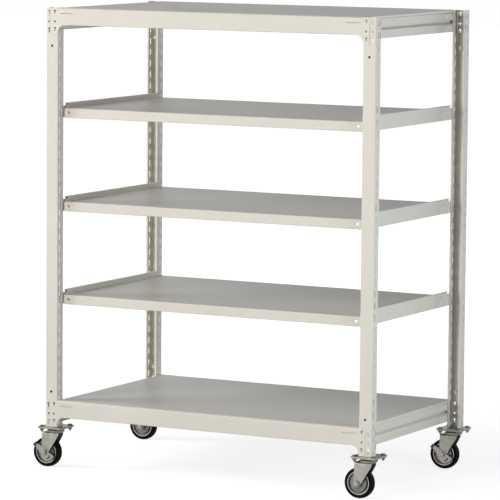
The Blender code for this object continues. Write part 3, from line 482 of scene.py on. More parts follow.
def finish_with(group, name, values, specular=0.5, metallic=0.0, bump=0.00002):
    """A material whose colour, roughness and bump come from one of the finish groups."""
    material = bpy.data.materials.new(name)
    material.use_nodes = True
    tree = material.node_tree
    shader = tree.nodes["Principled BSDF"]
    shader.inputs["Specular IOR Level"].default_value = specular
    shader.inputs["Metallic"].default_value = metallic
    finish = tree.nodes.new("ShaderNodeGroup")
    finish.node_tree = group
    for title, value in values.items():
        finish.inputs[title].default_value = (*value, 1.0) if isinstance(value, tuple) else value
    height = tree.nodes.new("ShaderNodeBump")
    height.inputs["Strength"].default_value = 0.5
    height.inputs["Distance"].default_value = bump
    tree.links.new(finish.outputs["Color"], shader.inputs["Base Color"])
    tree.links.new(finish.outputs["Roughness"], shader.inputs["Roughness"])
    tree.links.new(finish.outputs["Height"], height.inputs["Height"])
    tree.links.new(height.outputs["Normal"], shader.inputs["Normal"])
    return material


ivory_powder = finish_with(powder_coat, "ivory_powder", {
    "Paint": (0.765, 0.733, 0.668), "Rub": (0.50, 0.49, 0.46), "Dust": (0.62, 0.61, 0.59),
    "Rub amount": 0.45, "Dust amount": 0.10, "Peel scale": 1100.0, "Dullness": 0.36}, bump=0.00003)
# The nuts' bores are painted dark: painted shade inside the web holes.
nut_bore_shade = finish_with(powder_coat, "nut_bore_shade", {
    "Paint": (0.12, 0.113, 0.100), "Rub": (0.24, 0.23, 0.21), "Dust": (0.15, 0.145, 0.13),
    "Rub amount": 0.2, "Dust amount": 0.0, "Peel scale": 1500.0, "Dullness": 0.45}, metallic=0.5)


def settle(piece, material, node, body="rack"):
    """Give a finished piece its material, hide the node it stands in for, and attach it to its
    body.
    """
    piece.data.materials.clear()
    piece.data.materials.append(material)
    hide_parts(node)
    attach(piece, body)
    return piece


def coat_part(piece, material, wanted):
    """Give the faces that a test accepts their own coat."""
    piece.data.materials.append(material)
    for patch in piece.data.polygons:
        if wanted(patch.center, patch.normal):
            patch.material_index = 1


def shaded_nut_bore(center, normal):
    """The bore of a nut behind the web, with its closed end, painted dark as painted shade."""
    across = abs(abs(center.x - MIDDLE) - MIDDLE_COLUMN)
    near_axis = math.hypot(across, min(abs(center.z - z) for z in NUT_HEIGHTS)) < 0.0050
    deep = FRONT - abs(center.y)
    return near_axis and 0.0004 < deep < 0.0212 and (abs(normal.y) < 0.3 or deep > 0.015)


def flange_slot(near_side, inset, center):
    """A cutter for a slot, from one side of a post to beyond its outer side."""
    return round_along(block("slot", (MIDDLE + near_side - PAST, WEB + inset, center - SLOT_HALF),
                             (MIDDLE + OUTER + PAST, WEB + inset + 0.0055, center + SLOT_HALF)),
                       0, SLOT_ROUND, 4)


def web_cut(name, x, half_width, low, high, radius, segments):
    """A cutter through the web, for the head or the neck of a keyhole."""
    return round_along(block(name, (MIDDLE + x - half_width, WEB - 0.006, low),
                             (MIDDLE + x + half_width, WEB + 0.006, high)), 1, radius, segments)


section = [(OUTER - POST_LIP, WEB + POST_DEPTH), (OUTER, WEB + POST_DEPTH), (OUTER, WEB),
           (INNER, WEB), (INNER, WEB + POST_DEPTH), (INNER + POST_LIP, WEB + POST_DEPTH)]
post = fold_sheet("post", [(MIDDLE + x, y, FOOT) for x, y in section], (0.0, 0.0, TOP - FOOT),
                  POST_WALL, [POST_BEND], (0.0, -1.0, 0.0), 5)
rims = [peg("rim", (MIDDLE + MIDDLE_COLUMN, WEB, z), 0.0058, 0.0013, "y") for z in NUT_HEIGHTS]
rims += [peg("rim", (MIDDLE + OUTER_COLUMN, WEB, level - HOLE_DROP), 0.0049, 0.0010, "y")
         for level in (BOTTOM, TOP)]
rims = gather(rims)
pick(rims, "EDGE", lambda a, b: abs(a.y - b.y) < 0.00001 and a.y < WEB - 0.0003)
bpy.ops.mesh.bevel(offset=0.0004, segments=2, affect="EDGES")
work(post, [rims], "UNION")
work(post, [peg("nut", (MIDDLE + MIDDLE_COLUMN, WEB + 0.0115, z), NUT_RADIUS, NUT_LENGTH, "y", 24)
            for z in NUT_HEIGHTS], "UNION")
slots = flange_slot(INNER, 0.01125, SLOT_FIRST)
repeat = slots.modifiers.new("repeat", "ARRAY")
repeat.use_relative_offset = False
repeat.use_constant_offset = True
repeat.constant_offset_displace = (0.0, 0.0, SLOT_STEP)
repeat.count = SLOT_COUNT
only(slots)
bpy.ops.object.modifier_apply(modifier=repeat.name)
tools = [slots]
for level in (BOTTOM, TOP):
    tools += [flange_slot(OUTER, 0.02625, level - drop) for drop in (0.017, 0.057)]
    for x in (OUTER_COLUMN, INNER_COLUMN):
        tools.append(peg("hole", (MIDDLE + x, WEB, level - HOLE_DROP), HOLE_RADIUS, 0.012, "y"))
        for row in (level - drop for drop in KEYHOLE_DROPS):
            tools.append(web_cut("head", x, 0.0045, row + 0.0035, row + 0.009, 0.0012, 3))
tools += [peg("hole", (MIDDLE + MIDDLE_COLUMN, WEB + 0.00725, z), NUT_BORE, 0.0265, "y")
          for z in NUT_HEIGHTS]
work(post, tools)
work(post, [web_cut("neck", x, 0.00225, level - drop - 0.009, level - drop + 0.0045, 0.0010, 2)
            for x in (OUTER_COLUMN, INNER_COLUMN) for level in (BOTTOM, TOP)
            for drop in KEYHOLE_DROPS])
for end, side in CORNERS:
    twin = copy_across(post, f"channel_post_{end}_{side}", flip_x=side == "left",
                       flip_y=end == "rear")
    settle(soften(twin), ivory_powder, f"post_{end}_{side}")
    # The bores of the nuts get the dark coat, painted shade.
    coat_part(twin, nut_bore_shade, shaded_nut_bore)
put_away(post)

# Four beams join the posts along the front and the rear. Each is folded from 1.5 mm sheet,
# with a rim rolled over the top, a ledge for the deck, and a pressed line near each end
# with a closed bead behind it. The gusseted end tabs hook into the keyholes of the posts.
DECK_LEVELS = (("bottom", BOTTOM), ("top", TOP))
SHEET, CLEARANCE = 0.0015, 0.0003
FACE = FRONT + 0.0018
TAB_END = OUTER - POST_WIDTH / 2 - CLEARANCE
HOOK_WIDTH, HOOK_WALL, HOOK_RISE, TONGUE, BEHIND = 0.003, 0.0018, 0.006, 0.005, 0.0021


def hook(axis, root, behind, across, foot):
    """A hook: a neck through the post's sheet and a tongue that hangs behind it."""
    tip = behind + (HOOK_WALL if behind > root else -HOOK_WALL)
    outline = [(root, foot), (root, foot + HOOK_RISE), (tip, foot + HOOK_RISE),
               (tip, foot - TONGUE), (behind, foot - TONGUE), (behind, foot)]
    near = across - HOOK_WIDTH / 2
    if axis == "y":
        return flat_sheet("hook", [(near, a, z) for a, z in outline], (HOOK_WIDTH, 0.0, 0.0))
    return flat_sheet("hook", [(a, near, z) for a, z in outline], (0.0, HOOK_WIDTH, 0.0))


for height, level in DECK_LEVELS:
    foot, ledge = level - 0.057, level - SHEET
    section = [(-FACE + 0.016, foot), (-FACE, foot), (-FACE, level), (-FRONT + 0.0125, level),
               (-FRONT + 0.0125, level - 0.0062)]
    beam = fold_sheet("beam", [(MIDDLE - INNER + CLEARANCE, y, z) for y, z in section],
                      (2 * INNER - 2 * CLEARANCE, 0.0, 0.0), SHEET, [0.0025, 0.0050, 0.0050],
                      (0.0, -1.0, 0.0), 6)
    work(beam, [block("ledge", (MIDDLE - INNER + 0.034, -FRONT + 0.0115, ledge - SHEET),
                      (MIDDLE + INNER - 0.034, -FRONT + 0.0305, ledge))], "UNION")
    work(beam, [block("end", (MIDDLE + s * (INNER - 0.025), -FACE + SHEET, foot - 0.002),
                      (MIDDLE + s * (INNER + 0.002), -FACE + 0.020, foot + 0.006))
                for s in (-1, 1)])
    for s in (-1, 1):
        tab = [(MIDDLE + s * x, -FACE, z) for x, z in (
            (INNER - 0.040, level - 0.012), (INNER, level - 0.012), (INNER, level),
            (TAB_END, level), (TAB_END, level - 0.089), (INNER, level - 0.089),
            (INNER, foot), (INNER - 0.040, foot))]
        work(beam, [flat_sheet("tab", tab, (0.0, SHEET, 0.0),
                               [(tab[3:5], 0.003, 4), ([tab[6]], 0.025, 10)])], "UNION")
    tools, hooks, grooves = [], [], []
    for s in (-1, 1):
        x = MIDDLE + s * INNER_COLUMN
        tools.append(peg("hole", (x, -FACE, level - HOLE_DROP), HOLE_RADIUS, 0.012, "y"))
        for row in (level - drop for drop in KEYHOLE_DROPS):
            neck = row - 0.009 + CLEARANCE
            stem, head = row + 0.0056, row + 0.0095
            points = [(x + u, -FACE - 0.004, z) for u, z in (
                (-0.0016, neck + HOOK_RISE), (0.0016, neck + HOOK_RISE), (0.0021, stem),
                (0.0046, stem), (0.0046, head), (-0.0046, head), (-0.0046, stem),
                (-0.0021, stem))]
            tools.append(flat_sheet("keyhole", points, (0.0, 0.008, 0.0),
                                    [(points[3:7], 0.0010, 2)]))
            hooks.append(hook("y", -FACE + SHEET / 2, -FRONT + BEHIND, x, neck))
        hooks.append(block("strip", (x - 0.0050, -FRONT + BEHIND, level - 0.085),
                           (x - 0.0034, -FRONT + 0.0150, level - 0.004)))
        near, far = sorted((MIDDLE + s * (INNER - 0.0095), MIDDLE + s * (INNER - 0.0605)))
        grooves.append(round_along(block("groove", (near, -FACE - 0.002, level - 0.0198),
                                         (far, -FACE + 0.0007, level - 0.0174)), 1, 0.0009, 3))
        near_slit, far_slit = near + 0.0008, far - 0.0008
        grooves.append(round_along(block("slit", (near_slit, -FACE - 0.001, level - 0.0192),
                                         (far_slit, -FACE + 0.0040, level - 0.0180)), 1, 0.0005, 2))
        grooves.append(block("hollow", (near_slit, -FACE + 0.0017, level - 0.0226),
                             (far_slit, -FACE + 0.0092, level - 0.0146)))
        work(beam, [block("bead", (near, -FACE + 0.0010, level - 0.0234),
                          (far, -FACE + 0.0100, level - 0.0138))], "UNION")
    work(beam, tools)
    for groove in grooves:
        work(beam, [groove])
    work(beam, hooks, "UNION")
    soften(beam, 0.00025, 2)
    for end in ("front", "rear"):
        twin = copy_across(beam, f"folded_beam_{height}_{end}", flip_y=end == "rear")
        settle(soften(twin), ivory_powder, f"beam_{height}_{end}")
    put_away(beam)

# Under each end deck a side tie holds the front and rear posts together: a channel of
# 1.5 mm sheet with a deep pressed groove, doubled at its ends by forked plates with raised
# pads, painted lighter as a painted highlight. The plates' hooks hang in the posts' slots.
TIE_END = FACE - SHEET - 0.010
SLOT_ROW = FRONT - 0.014
# The end plates get a lighter copy of the ivory paint: a painted highlight.
plate_highlight_paint = finish_with(powder_coat, "plate_highlight_paint", {
    "Paint": (0.87, 0.85, 0.80), "Rub": (0.50, 0.49, 0.46), "Dust": (0.62, 0.61, 0.59),
    "Rub amount": 0.5, "Dust amount": 0.0, "Peel scale": 1100.0, "Dullness": 0.30}, bump=0.00003)


def side_hook(s, face, neck):
    """A hook at an end of a side piece, in the row of slots of a post."""
    return hook("x", MIDDLE + face - SHEET / 2, MIDDLE + INNER + BEHIND, s * SLOT_ROW, neck)


def hook_feet(low, high):
    """The feet of the hooks between two heights, each on the lower end of a slot."""
    feet = [SLOT_FIRST + SLOT_STEP * index - SLOT_HALF + CLEARANCE for index in range(SLOT_COUNT)]
    return [foot for foot in feet if foot >= low and foot + HOOK_RISE <= high]


def end_plate(center, normal):
    """The outer face of a doubling plate, near a post."""
    plated = FRONT - 0.1200 < abs(center.y) < FRONT - 0.0375
    return plated and abs(normal.x) > 0.9 and abs(center.x - MIDDLE) > INNER + 0.0002


def both_sides(piece, name, node):
    """Mirror a side piece to the left and the right, with a painted highlight on its end plates."""
    for side in ("left", "right"):
        twin = soften(copy_across(piece, f"{name}_{side}", flip_x=side == "left"), 0.0002, 2)
        settle(twin, ivory_powder, f"{node}_{side}")
        # Painted highlight: the outer faces of the end plates are painted lighter.
        coat_part(twin, plate_highlight_paint, end_plate)
    put_away(piece)


for height, level in DECK_LEVELS:
    head = level - 0.0085
    foot = head - 0.0635
    face = INNER - CLEARANCE - 0.0008
    deep = face - 0.012
    path = [(face - 0.020, head), (face, head), (face, level - 0.0335), (deep, level - 0.0335),
            (deep, level - 0.0385), (face, level - 0.0460), (face, foot), (face - 0.0055, foot)]
    tie = fold_sheet("tie", [(MIDDLE + x, -TIE_END, z) for x, z in path],
                     (0.0, 2 * TIE_END, 0.0), SHEET, [0.0022], (1.0, 0.0, 0.0), 4)
    start, cover, stop = TIE_END - 0.092, FRONT - 0.035, TIE_END - 0.0008
    hooks = []
    for s in (-1, 1):
        points = [(MIDDLE + face - SHEET / 2, s * y, z) for y, z in (
            (start, foot + 0.0025), (stop, foot + 0.0025), (stop, head - 0.0025),
            (start, head - 0.0025), (start, level - 0.0310), (cover, level - 0.0310),
            (cover, level - 0.0485), (start, level - 0.0485))]
        work(tie, [flat_sheet("forked_plate", points, (0.00155, 0.0, 0.0),
                              [([points[i] for i in (0, 3, 4, 7)], 0.003, 3)])], "UNION")
        work(tie, [round_along(block("pad", (MIDDLE + face, s * (start + 0.0008), low),
                                     (MIDDLE + face + 0.0015, s * (FRONT - 0.0385), high)),
                               0, 0.0025, 3)
                   for low, high in ((foot + 0.0033, level - 0.0493),
                                     (level - 0.0302, head - 0.0033))], "UNION")
        hooks += [side_hook(s, face, neck) for neck in hook_feet(foot + 0.0025, head - 0.0025)]
    work(tie, hooks, "UNION")
    both_sides(tie, f"grooved_tie_{height}", f"tie_{height}")

# The end decks are 1.2 mm sheets that drop inside the rolled rims and rest on the ledges.
# Their upper side has a smoother coat, painted a little greyer as painted shade, with fine dust.
DECK_WALL = 0.0012
# The deck tops are painted greyer than the ivory: painted shade.
deck_top_shade = finish_with(powder_coat, "deck_top_shade", {
    "Paint": (0.64, 0.634, 0.605), "Rub": (0.50, 0.49, 0.46), "Dust": (0.55, 0.545, 0.52),
    "Rub amount": 0.3, "Dust amount": 0.06, "Peel scale": 500.0, "Dullness": 0.36},
    specular=0.05, bump=0.000006)


def finish_deck(deck, node, level):
    """Ease and paint a deck, and give its upward side the smoother coat, painted greyer as painted
    shade.
    """
    settle(soften(deck, 0.0002, 2), ivory_powder, node)
    # Painted shade: the upward faces get the greyer coat.
    coat_part(deck, deck_top_shade,
              lambda center, normal: normal.z > 0.9 and center.z > level - 0.0005)


for height, level in DECK_LEVELS:
    half, deep = INNER - CLEARANCE, FRONT - 0.0128
    section = ((-half, level - 0.0082), (-half, level), (half, level), (half, level - 0.0082))
    deck = fold_sheet(f"sheet_deck_{height}", [(MIDDLE + x, -deep, z) for x, z in section],
                      (0.0, 2 * deep, 0.0), DECK_WALL, [0.0032], (0.0, 0.0, 1.0), 5)
    finish_deck(deck, f"deck_{height}", level)

# Three shelves lie between the end decks, sheets folded down at the front and the rear into
# a deep lip with a return. Side supports carry their ends: folded strips notched near the
# posts, with doubling plates that have two slots, and hooks that hang in the posts' slots.
SHELF_LEVELS = (0.58145, 0.89065, 1.19985)
STRIP_INSET = 0.0065
HALF_DEPTH = FRONT - 0.0267
HALF_WIDTH = INNER - CLEARANCE - STRIP_INSET - 0.0025 - CLEARANCE
SUPPORT_END = FRONT - POST_DEPTH + 0.019
STRIP_END = FRONT - POST_DEPTH - SHEET
for number, level in enumerate(SHELF_LEVELS, 1):
    lip = level - 0.0324
    path = [(0.010 - HALF_DEPTH, lip), (-HALF_DEPTH, lip), (-HALF_DEPTH, level),
            (HALF_DEPTH, level), (HALF_DEPTH, lip), (HALF_DEPTH - 0.010, lip)]
    shelf = fold_sheet(f"folded_shelf_{number}", [(MIDDLE - HALF_WIDTH, y, z) for y, z in path],
                       (2 * HALF_WIDTH, 0.0, 0.0), DECK_WALL, [0.0022, 0.0034, 0.0034, 0.0022],
                       (0.0, 0.0, 1.0), 5)
    work(shelf, [peg("hole", (MIDDLE + s * (HALF_WIDTH - 0.017), t * HALF_DEPTH, level - 0.0153),
                     0.0044, 0.010, "y") for s in (-1, 1) for t in (-1, 1)])
    finish_deck(shelf, f"shelf_{number}", level)
    face = INNER - CLEARANCE
    rise, drop, ledge, strip = level + 0.0165, level - 0.0323, level - SHEET, face - STRIP_INSET
    outside, within = MIDDLE + face, MIDDLE + strip - 0.030
    path = [(strip - 0.024, ledge), (strip, ledge), (strip, rise), (face, rise), (face, drop),
            (strip, drop)]
    support = fold_sheet("support", [(MIDDLE + x, -SUPPORT_END, z) for x, z in path],
                         (0.0, 2 * SUPPORT_END, 0.0), SHEET, [0.0022], (1.0, 0.0, 0.0), 4)
    near, far = FRONT - POST_DEPTH - 0.001, FRONT - POST_DEPTH - 0.078
    work(support, [round_along(block("plate", (outside - 0.0007, s * near, drop + 0.0030),
                                     (outside + 0.0014, s * far, rise - 0.0040)), 0, 0.0025, 3)
                   for s in (-1, 1)], "UNION")
    tools = []
    for s in (-1, 1):
        past, stop, cut = s * (SUPPORT_END + 0.002), s * STRIP_END, level + 0.0070
        window = [(past, cut), (stop, cut), (stop, rise + 0.002), (past, rise + 0.002)]
        tools.append(flat_sheet("window", [(within, y, z) for y, z in window], (0.040, 0.0, 0.0)))
    work(support, tools)
    for s in (-1, 1):
        work(support, [round_along(
            block("notch", (within, s * (STRIP_END - 0.0115), rise - 0.0095),
                  (outside + 0.004, s * (SUPPORT_END + 0.004), rise - 0.0016)), 0, 0.0026, 4)])
    work(support, [block("inside", (within, s * (STRIP_END - 0.002), drop - 0.002),
                         (outside - SHEET, s * (SUPPORT_END + 0.002), level + 0.0145))
                   for s in (-1, 1)])
    work(support, [round_along(
        block("slot", (outside - 0.0035, s * (FRONT - inset) - 0.0024, level - 0.0060),
              (outside + 0.0035, s * (FRONT - inset) + 0.0024, level + 0.0060)), 0, 0.0012, 2)
        for s in (-1, 1) for inset in (0.085, 0.103)])
    work(support, [block("foot", (within, s * STRIP_END, drop - 0.002),
                         (outside + 0.002, s * (SUPPORT_END + 0.002), drop + 0.00125))
                   for s in (-1, 1)])
    hooks = []
    for s in (-1, 1):
        for neck in hook_feet(drop + 0.0025, level - 0.0015):
            work(support, [block("arm", (outside - SHEET, s * (SUPPORT_END - 0.001), neck),
                                 (outside, s * (SLOT_ROW + 0.0015), neck + HOOK_RISE))], "UNION")
            hooks.append(side_hook(s, face, neck))
    work(support, hooks, "UNION")
    both_sides(support, f"side_support_{number}", f"support_{number}")

# Each post stands on a square foot plate of 2.8 mm steel, and the top plate of a caster is
# bolted under it at four corners. Both plates are zinc-plated; the bolts, the nuts, the
# kingpin and the upper ball race are plain dark steel.
CASTER_X, CASTER_Y = 0.57945, 0.3216
AXIS_X, AXIS_Y = MIDDLE + CASTER_X, -CASTER_Y
AXIS = (AXIS_X, AXIS_Y, 0.0)
PLACES = {(end, side): (0.0 if side == "right" else -2 * CASTER_X,
                        0.0 if end == "front" else 2 * CASTER_Y, 0.0) for end, side in CORNERS}
PLATE_HALF, PLATE_WALL, BOLT_REACH, BOLT_FLATS = 0.045, 0.0028, 0.034, 0.013


def plating_group():
    """Zinc plating: cloudy shifts of tone, fine rolling lines and bright edges."""
    group, given, place = start_group("zinc_plating", ("Metal", "Cloud", "Edge"), {
        "Cloud amount": 0.5, "Edge amount": 0.5, "Dullness": 0.4})
    clouds = noise(group, place, 70.0, 6.0, 0.6)
    stretch = group.nodes.new("ShaderNodeMapping")
    stretch.inputs["Scale"].default_value = (0.12, 1.0, 1.0)
    group.links.new(place, stretch.inputs["Vector"])
    share = calculate(group, "MULTIPLY", spread(group, clouds, 0.35, 0.68), given["Cloud amount"])
    tone = blend(group, "MIX", share, given["Metal"], given["Cloud"])
    rubbed = calculate(group, "MULTIPLY", sharp_edges(group, 0.0009, 0.99, 0.85),
                       given["Edge amount"])
    tone = blend(group, "MIX", rubbed, tone, given["Edge"])
    dull = calculate(group, "ADD", given["Dullness"], spread(group, clouds, 0.0, 1.0, -0.06, 0.10))
    return close_group(group, tone, dull, noise(group, stretch.outputs["Vector"], 1500.0))


zinc_plating = plating_group()
zinc = finish_with(zinc_plating, "zinc_plate", {
    "Metal": (0.262, 0.258, 0.236), "Cloud": (0.185, 0.181, 0.163), "Edge": (0.55, 0.54, 0.50),
    "Cloud amount": 0.6, "Edge amount": 0.5, "Dullness": 0.36}, metallic=0.85, bump=0.000015)
dark_steel = finish_with(zinc_plating, "bolt_steel", {
    "Metal": (0.145, 0.145, 0.140), "Cloud": (0.07, 0.068, 0.062), "Edge": (0.32, 0.31, 0.29),
    "Cloud amount": 0.7, "Edge amount": 0.6, "Dullness": 0.34}, metallic=0.85, bump=0.00001)


def turn_round(name, profile, center, axis, steps=48):
    """Spin a profile of (radius, distance along the axis) points about an axis."""
    direction = Vector((0.0, 0.0, 1.0)) if axis == "z" else Vector((0.0, 1.0, 0.0))
    points = [Vector(center) + Vector((radius, 0.0, 0.0)) + direction * along
              for radius, along in profile]
    if profile[0][0] > 0.0:
        points.append(points[0])
    piece = draw_line(name, points)
    open_all(piece)
    bpy.ops.mesh.spin(steps=steps, angle=math.tau, center=center, axis=direction)
    bpy.ops.mesh.select_all(action="SELECT")
    bpy.ops.mesh.remove_doubles(threshold=0.00001)
    bpy.ops.mesh.normals_make_consistent(inside=False)
    return close(piece)


def hexagon(name, center, flats, length, axis, outer):
    """A bolt head or a nut: six flats, with the corners of its outer face eased."""
    piece = peg(name, center, flats / math.sqrt(3.0), length, axis, 6)
    column = {"y": 1, "z": 2}[axis]
    rim = center[column] + outer * length / 2
    pick(piece, "EDGE", lambda a, b: max(abs(a[column] - rim), abs(b[column] - rim)) < 0.00001)
    bpy.ops.mesh.bevel(offset=0.0009, segments=3, affect="EDGES")
    return close(piece)


def square_plate(name, low):
    """A square plate about the kingpin, with rounded corners."""
    plate = block(name, (AXIS_X - PLATE_HALF, AXIS_Y - PLATE_HALF, low),
                  (AXIS_X + PLATE_HALF, AXIS_Y + PLATE_HALF, low + PLATE_WALL))
    return soften(round_along(plate, 2, 0.006, 6), 0.0005, 2)


foot_plate, top_plate = square_plate("foot", 0.1369), square_plate("top", 0.1338)
race = turn_round("race", [(0.018, 0.1350), (0.0265, 0.1350), (0.0265, 0.1300),
                           (0.0250, 0.1266), (0.018, 0.1266)], AXIS, "z")
soften(race, 0.0005, 2, 25.0)
kingpin = turn_round("kingpin", [
    (0.0, 0.1350), (0.006, 0.1350), (0.006, 0.1162), (0.0105, 0.1162), (0.0102, 0.1140),
    (0.0080, 0.1124), (0.0045, 0.1117), (0.0, 0.1117)], AXIS, "z", 32)
soften(kingpin)
bolts = []
for x in (AXIS_X - BOLT_REACH, AXIS_X + BOLT_REACH):
    for y in (AXIS_Y - BOLT_REACH, AXIS_Y + BOLT_REACH):
        bolts.append(hexagon("head", (x, y, 0.1420), BOLT_FLATS, 0.0040, "z", 1))
        bolts.append(hexagon("nut", (x, y, 0.13055), BOLT_FLATS, 0.0065, "z", -1))
        bolts.append(soften(peg("shank", (x, y, 0.1309), 0.004, 0.0182, "z"), 0.0006, 2))
bolts = soften(gather(bolts))
for (end, side), shift in PLACES.items():
    corner = f"{end}_{side}"
    settle(copy_across(foot_plate, f"foot_plate_{corner}_sheet", shift), zinc,
           f"foot_plate_{corner}")
    for piece, name, material in (
            (top_plate, "caster_top", zinc), (race, "upper_race", dark_steel),
            (kingpin, "kingpin", dark_steel), (bolts, "bolts", dark_steel)):
        settle(copy_across(piece, f"{name}_{corner}", shift), material,
               f"caster_plate_{corner}")
put_away(foot_plate, top_plate, race, kingpin, bolts)

# A fork is pressed from 2.5 mm sheet: a flat crown with a raised ball race, and two legs
# that slant back to the axle, creased along their height and drawn in towards the front.
# Hexagon nuts hold the axle through the rounded ends of the legs.
CROWN, LEG, CREASE, EAR = 0.1190, 0.0215, 0.0105, 0.0125
TRAIL, AXLE_HEIGHT = 0.031, 0.050
AXLE = (AXIS_X - TRAIL, AXIS_Y, AXLE_HEIGHT)
BRAKED = (("front", "left"), ("rear", "right"))
rear = AXIS_X - 0.0440
path = [(rear, AXIS_Y - LEG, 0.030), (rear, AXIS_Y - LEG, CROWN),
        (rear, AXIS_Y + LEG, CROWN), (rear, AXIS_Y + LEG, 0.030)]
fork = round_points(draw_line("fork", path), path[1:3], 0.006, 7)
open_all(fork)
bpy.ops.mesh.extrude_region_move(TRANSFORM_OT_translate={"value": (0.0335, 0.0, 0.0)})
bpy.ops.mesh.extrude_region_move(TRANSFORM_OT_translate={"value": (0.0285, 0.0, 0.0)})
bpy.ops.transform.resize(value=(1.0, 0.837, 1.0), center_override=(AXIS_X, AXIS_Y, CROWN))
bpy.ops.mesh.select_all(action="SELECT")
bpy.ops.mesh.normals_make_consistent(inside=False)
pick(fork, "EDGE", lambda a, b: max(abs(p.x - AXIS_X + CREASE) for p in (a, b)) < 0.00005)
bpy.ops.mesh.bevel(offset=0.0011, segments=3, affect="EDGES")
thicken(close(fork), 0.0025, (0.0, 0.0, 1.0))
outline = [(-0.041, CROWN + 0.002), (0.020, CROWN + 0.002), (0.020, CROWN - 0.0068)]
for step in range(19):
    angle = math.radians(-29.0 - 151.0 * step / 18)
    outline.append((-TRAIL + EAR * math.cos(angle), AXLE_HEIGHT + EAR * math.sin(angle)))
outline = [(AXIS_X + x, AXIS_Y - 0.030, z) for x, z in outline]
work(fork, [flat_sheet("outline", outline, (0.0, 0.060, 0.0))], "INTERSECT")
work(fork, [peg("bore", (AXIS_X, AXIS_Y, CROWN), 0.0066, 0.012, "z", 24)])
soften(fork, 0.0005, 2, 50.0)
fork_race = turn_round("fork_race", [
    (0.0066, 0.1180), (0.0250, 0.1180), (0.0272, 0.1192), (0.0286, 0.1212), (0.0290, 0.1236),
    (0.0290, 0.1255), (0.0282, 0.1263), (0.0066, 0.1263)], AXIS, "z", 56)
soften(fork_race)
axle = turn_round("axle", [(0.0, -0.0321), (0.0044, -0.0321), (0.005, -0.0315),
                           (0.005, 0.0315), (0.0044, 0.0321), (0.0, 0.0321)], AXLE, "y", 24)
nuts = [soften(axle)]
nuts += [hexagon("nut", (AXLE[0], AXIS_Y + s * 0.02735, AXLE[2]), 0.017, 0.0065, "y", s)
         for s in (-1, 1)]
nuts = soften(gather(nuts))
washers = {}
for braked, ends in ((False, (-1, 1)), (True, (1,))):
    washers[braked] = soften(gather([turn_round("washer", [
        (0.0051, s * 0.0205), (0.0105, s * 0.0205), (0.0105, s * 0.0250), (0.0099, s * 0.0256),
        (0.0051, s * 0.0256)], AXLE, "y", 32) for s in ends]))
for (end, side), shift in PLACES.items():
    corner = f"{end}_{side}"
    body = f"fork_{corner}"
    for piece, name in ((fork, "pressed_fork"), (fork_race, "lower_race"), (nuts, "axle_nuts"),
                        (washers[(end, side) in BRAKED], "axle_collars")):
        settle(copy_across(piece, f"{name}_{corner}", shift), zinc, body, body)
put_away(fork, fork_race, nuts, *washers.values())

# A wheel is a pressed steel disc with a hub, a stepped face, a deep ring groove and a
# bright rolled rim. A solid black rubber tyre, slightly crowned, is pressed over the rim.
RIM_START = 0.0356
disc_steel = finish_with(zinc_plating, "disc_steel", {
    "Metal": (0.145, 0.145, 0.140), "Cloud": (0.07, 0.069, 0.066), "Edge": (0.30, 0.30, 0.29),
    "Cloud amount": 0.6, "Edge amount": 0.5, "Dullness": 0.36}, metallic=0.85, bump=0.000012)
rim_steel = finish_with(zinc_plating, "rim_steel", {
    "Metal": (0.40, 0.40, 0.385), "Cloud": (0.28, 0.275, 0.26), "Edge": (0.52, 0.52, 0.50),
    "Cloud amount": 0.5, "Edge amount": 0.4, "Dullness": 0.30}, metallic=0.85, bump=0.000012)


def even(half, middle=()):
    """A profile that is the same on both sides of the wheel's middle."""
    return half + list(middle) + [(radius, -along) for radius, along in half[::-1]]


def rubber_group():
    """Solid rubber: a fine matt grain, and floor dust caught in scuffed patches."""
    group, given, place = start_group("rubber_skin", ("Rubber", "Dust"), {
        "Dust amount": 0.4, "Dullness": 0.6})
    scuffs = noise(group, place, 180.0, 7.0)
    caught = calculate(group, "MULTIPLY", spread(group, scuffs, 0.45, 0.75), given["Dust amount"])
    tone = blend(group, "MIX", caught, given["Rubber"], given["Dust"])
    dull = calculate(group, "ADD", given["Dullness"], caught)
    return close_group(group, tone, dull, noise(group, place, 1800.0))


disc = turn_round("disc", even([
    (0.0053, 0.018), (0.0095, 0.018), (0.0095, 0.0124), (0.0165, 0.0124), (0.0177, 0.0112),
    (0.0285, 0.0112), (0.0292, 0.0085), (0.0305, 0.0029), (0.0358, 0.0029), (0.0358, 0.0124),
    (0.0382, 0.0124)]), AXLE, "y", 64)
soften(disc, 0.0004, 3, 30.0)
tyre = turn_round("tyre", even([
    (0.0385, 0.0130), (0.0460, 0.0130), (0.0470, 0.0128), (0.0479, 0.0122), (0.0485, 0.0112),
    (0.0489, 0.0098), (0.0495, 0.0060), (0.0499, 0.0025)], [(0.0500, 0.0)]), AXLE, "y", 72)
soften(tyre)
rubber_skin = rubber_group()
black_rubber = finish_with(rubber_skin, "black_rubber", {
    "Rubber": (0.0035, 0.0035, 0.0037), "Dust": (0.024, 0.023, 0.022), "Dust amount": 0.12,
    "Dullness": 0.60}, specular=0.04, bump=0.00003)
for (end, side), shift in PLACES.items():
    body = f"wheel_{end}_{side}"
    wheel = copy_across(disc, f"steel_disc_{end}_{side}", shift)
    settle(wheel, disc_steel, body, body)
    hub = Vector(AXLE) + Vector(shift)
    coat_part(wheel, rim_steel, lambda center, normal:
              math.hypot(center.x - hub.x, center.z - hub.z) > RIM_START)
    settle(copy_across(tyre, f"solid_tyre_{end}_{side}", shift), black_rubber,
           f"tyre_{end}_{side}", body)
put_away(disc, tyre)

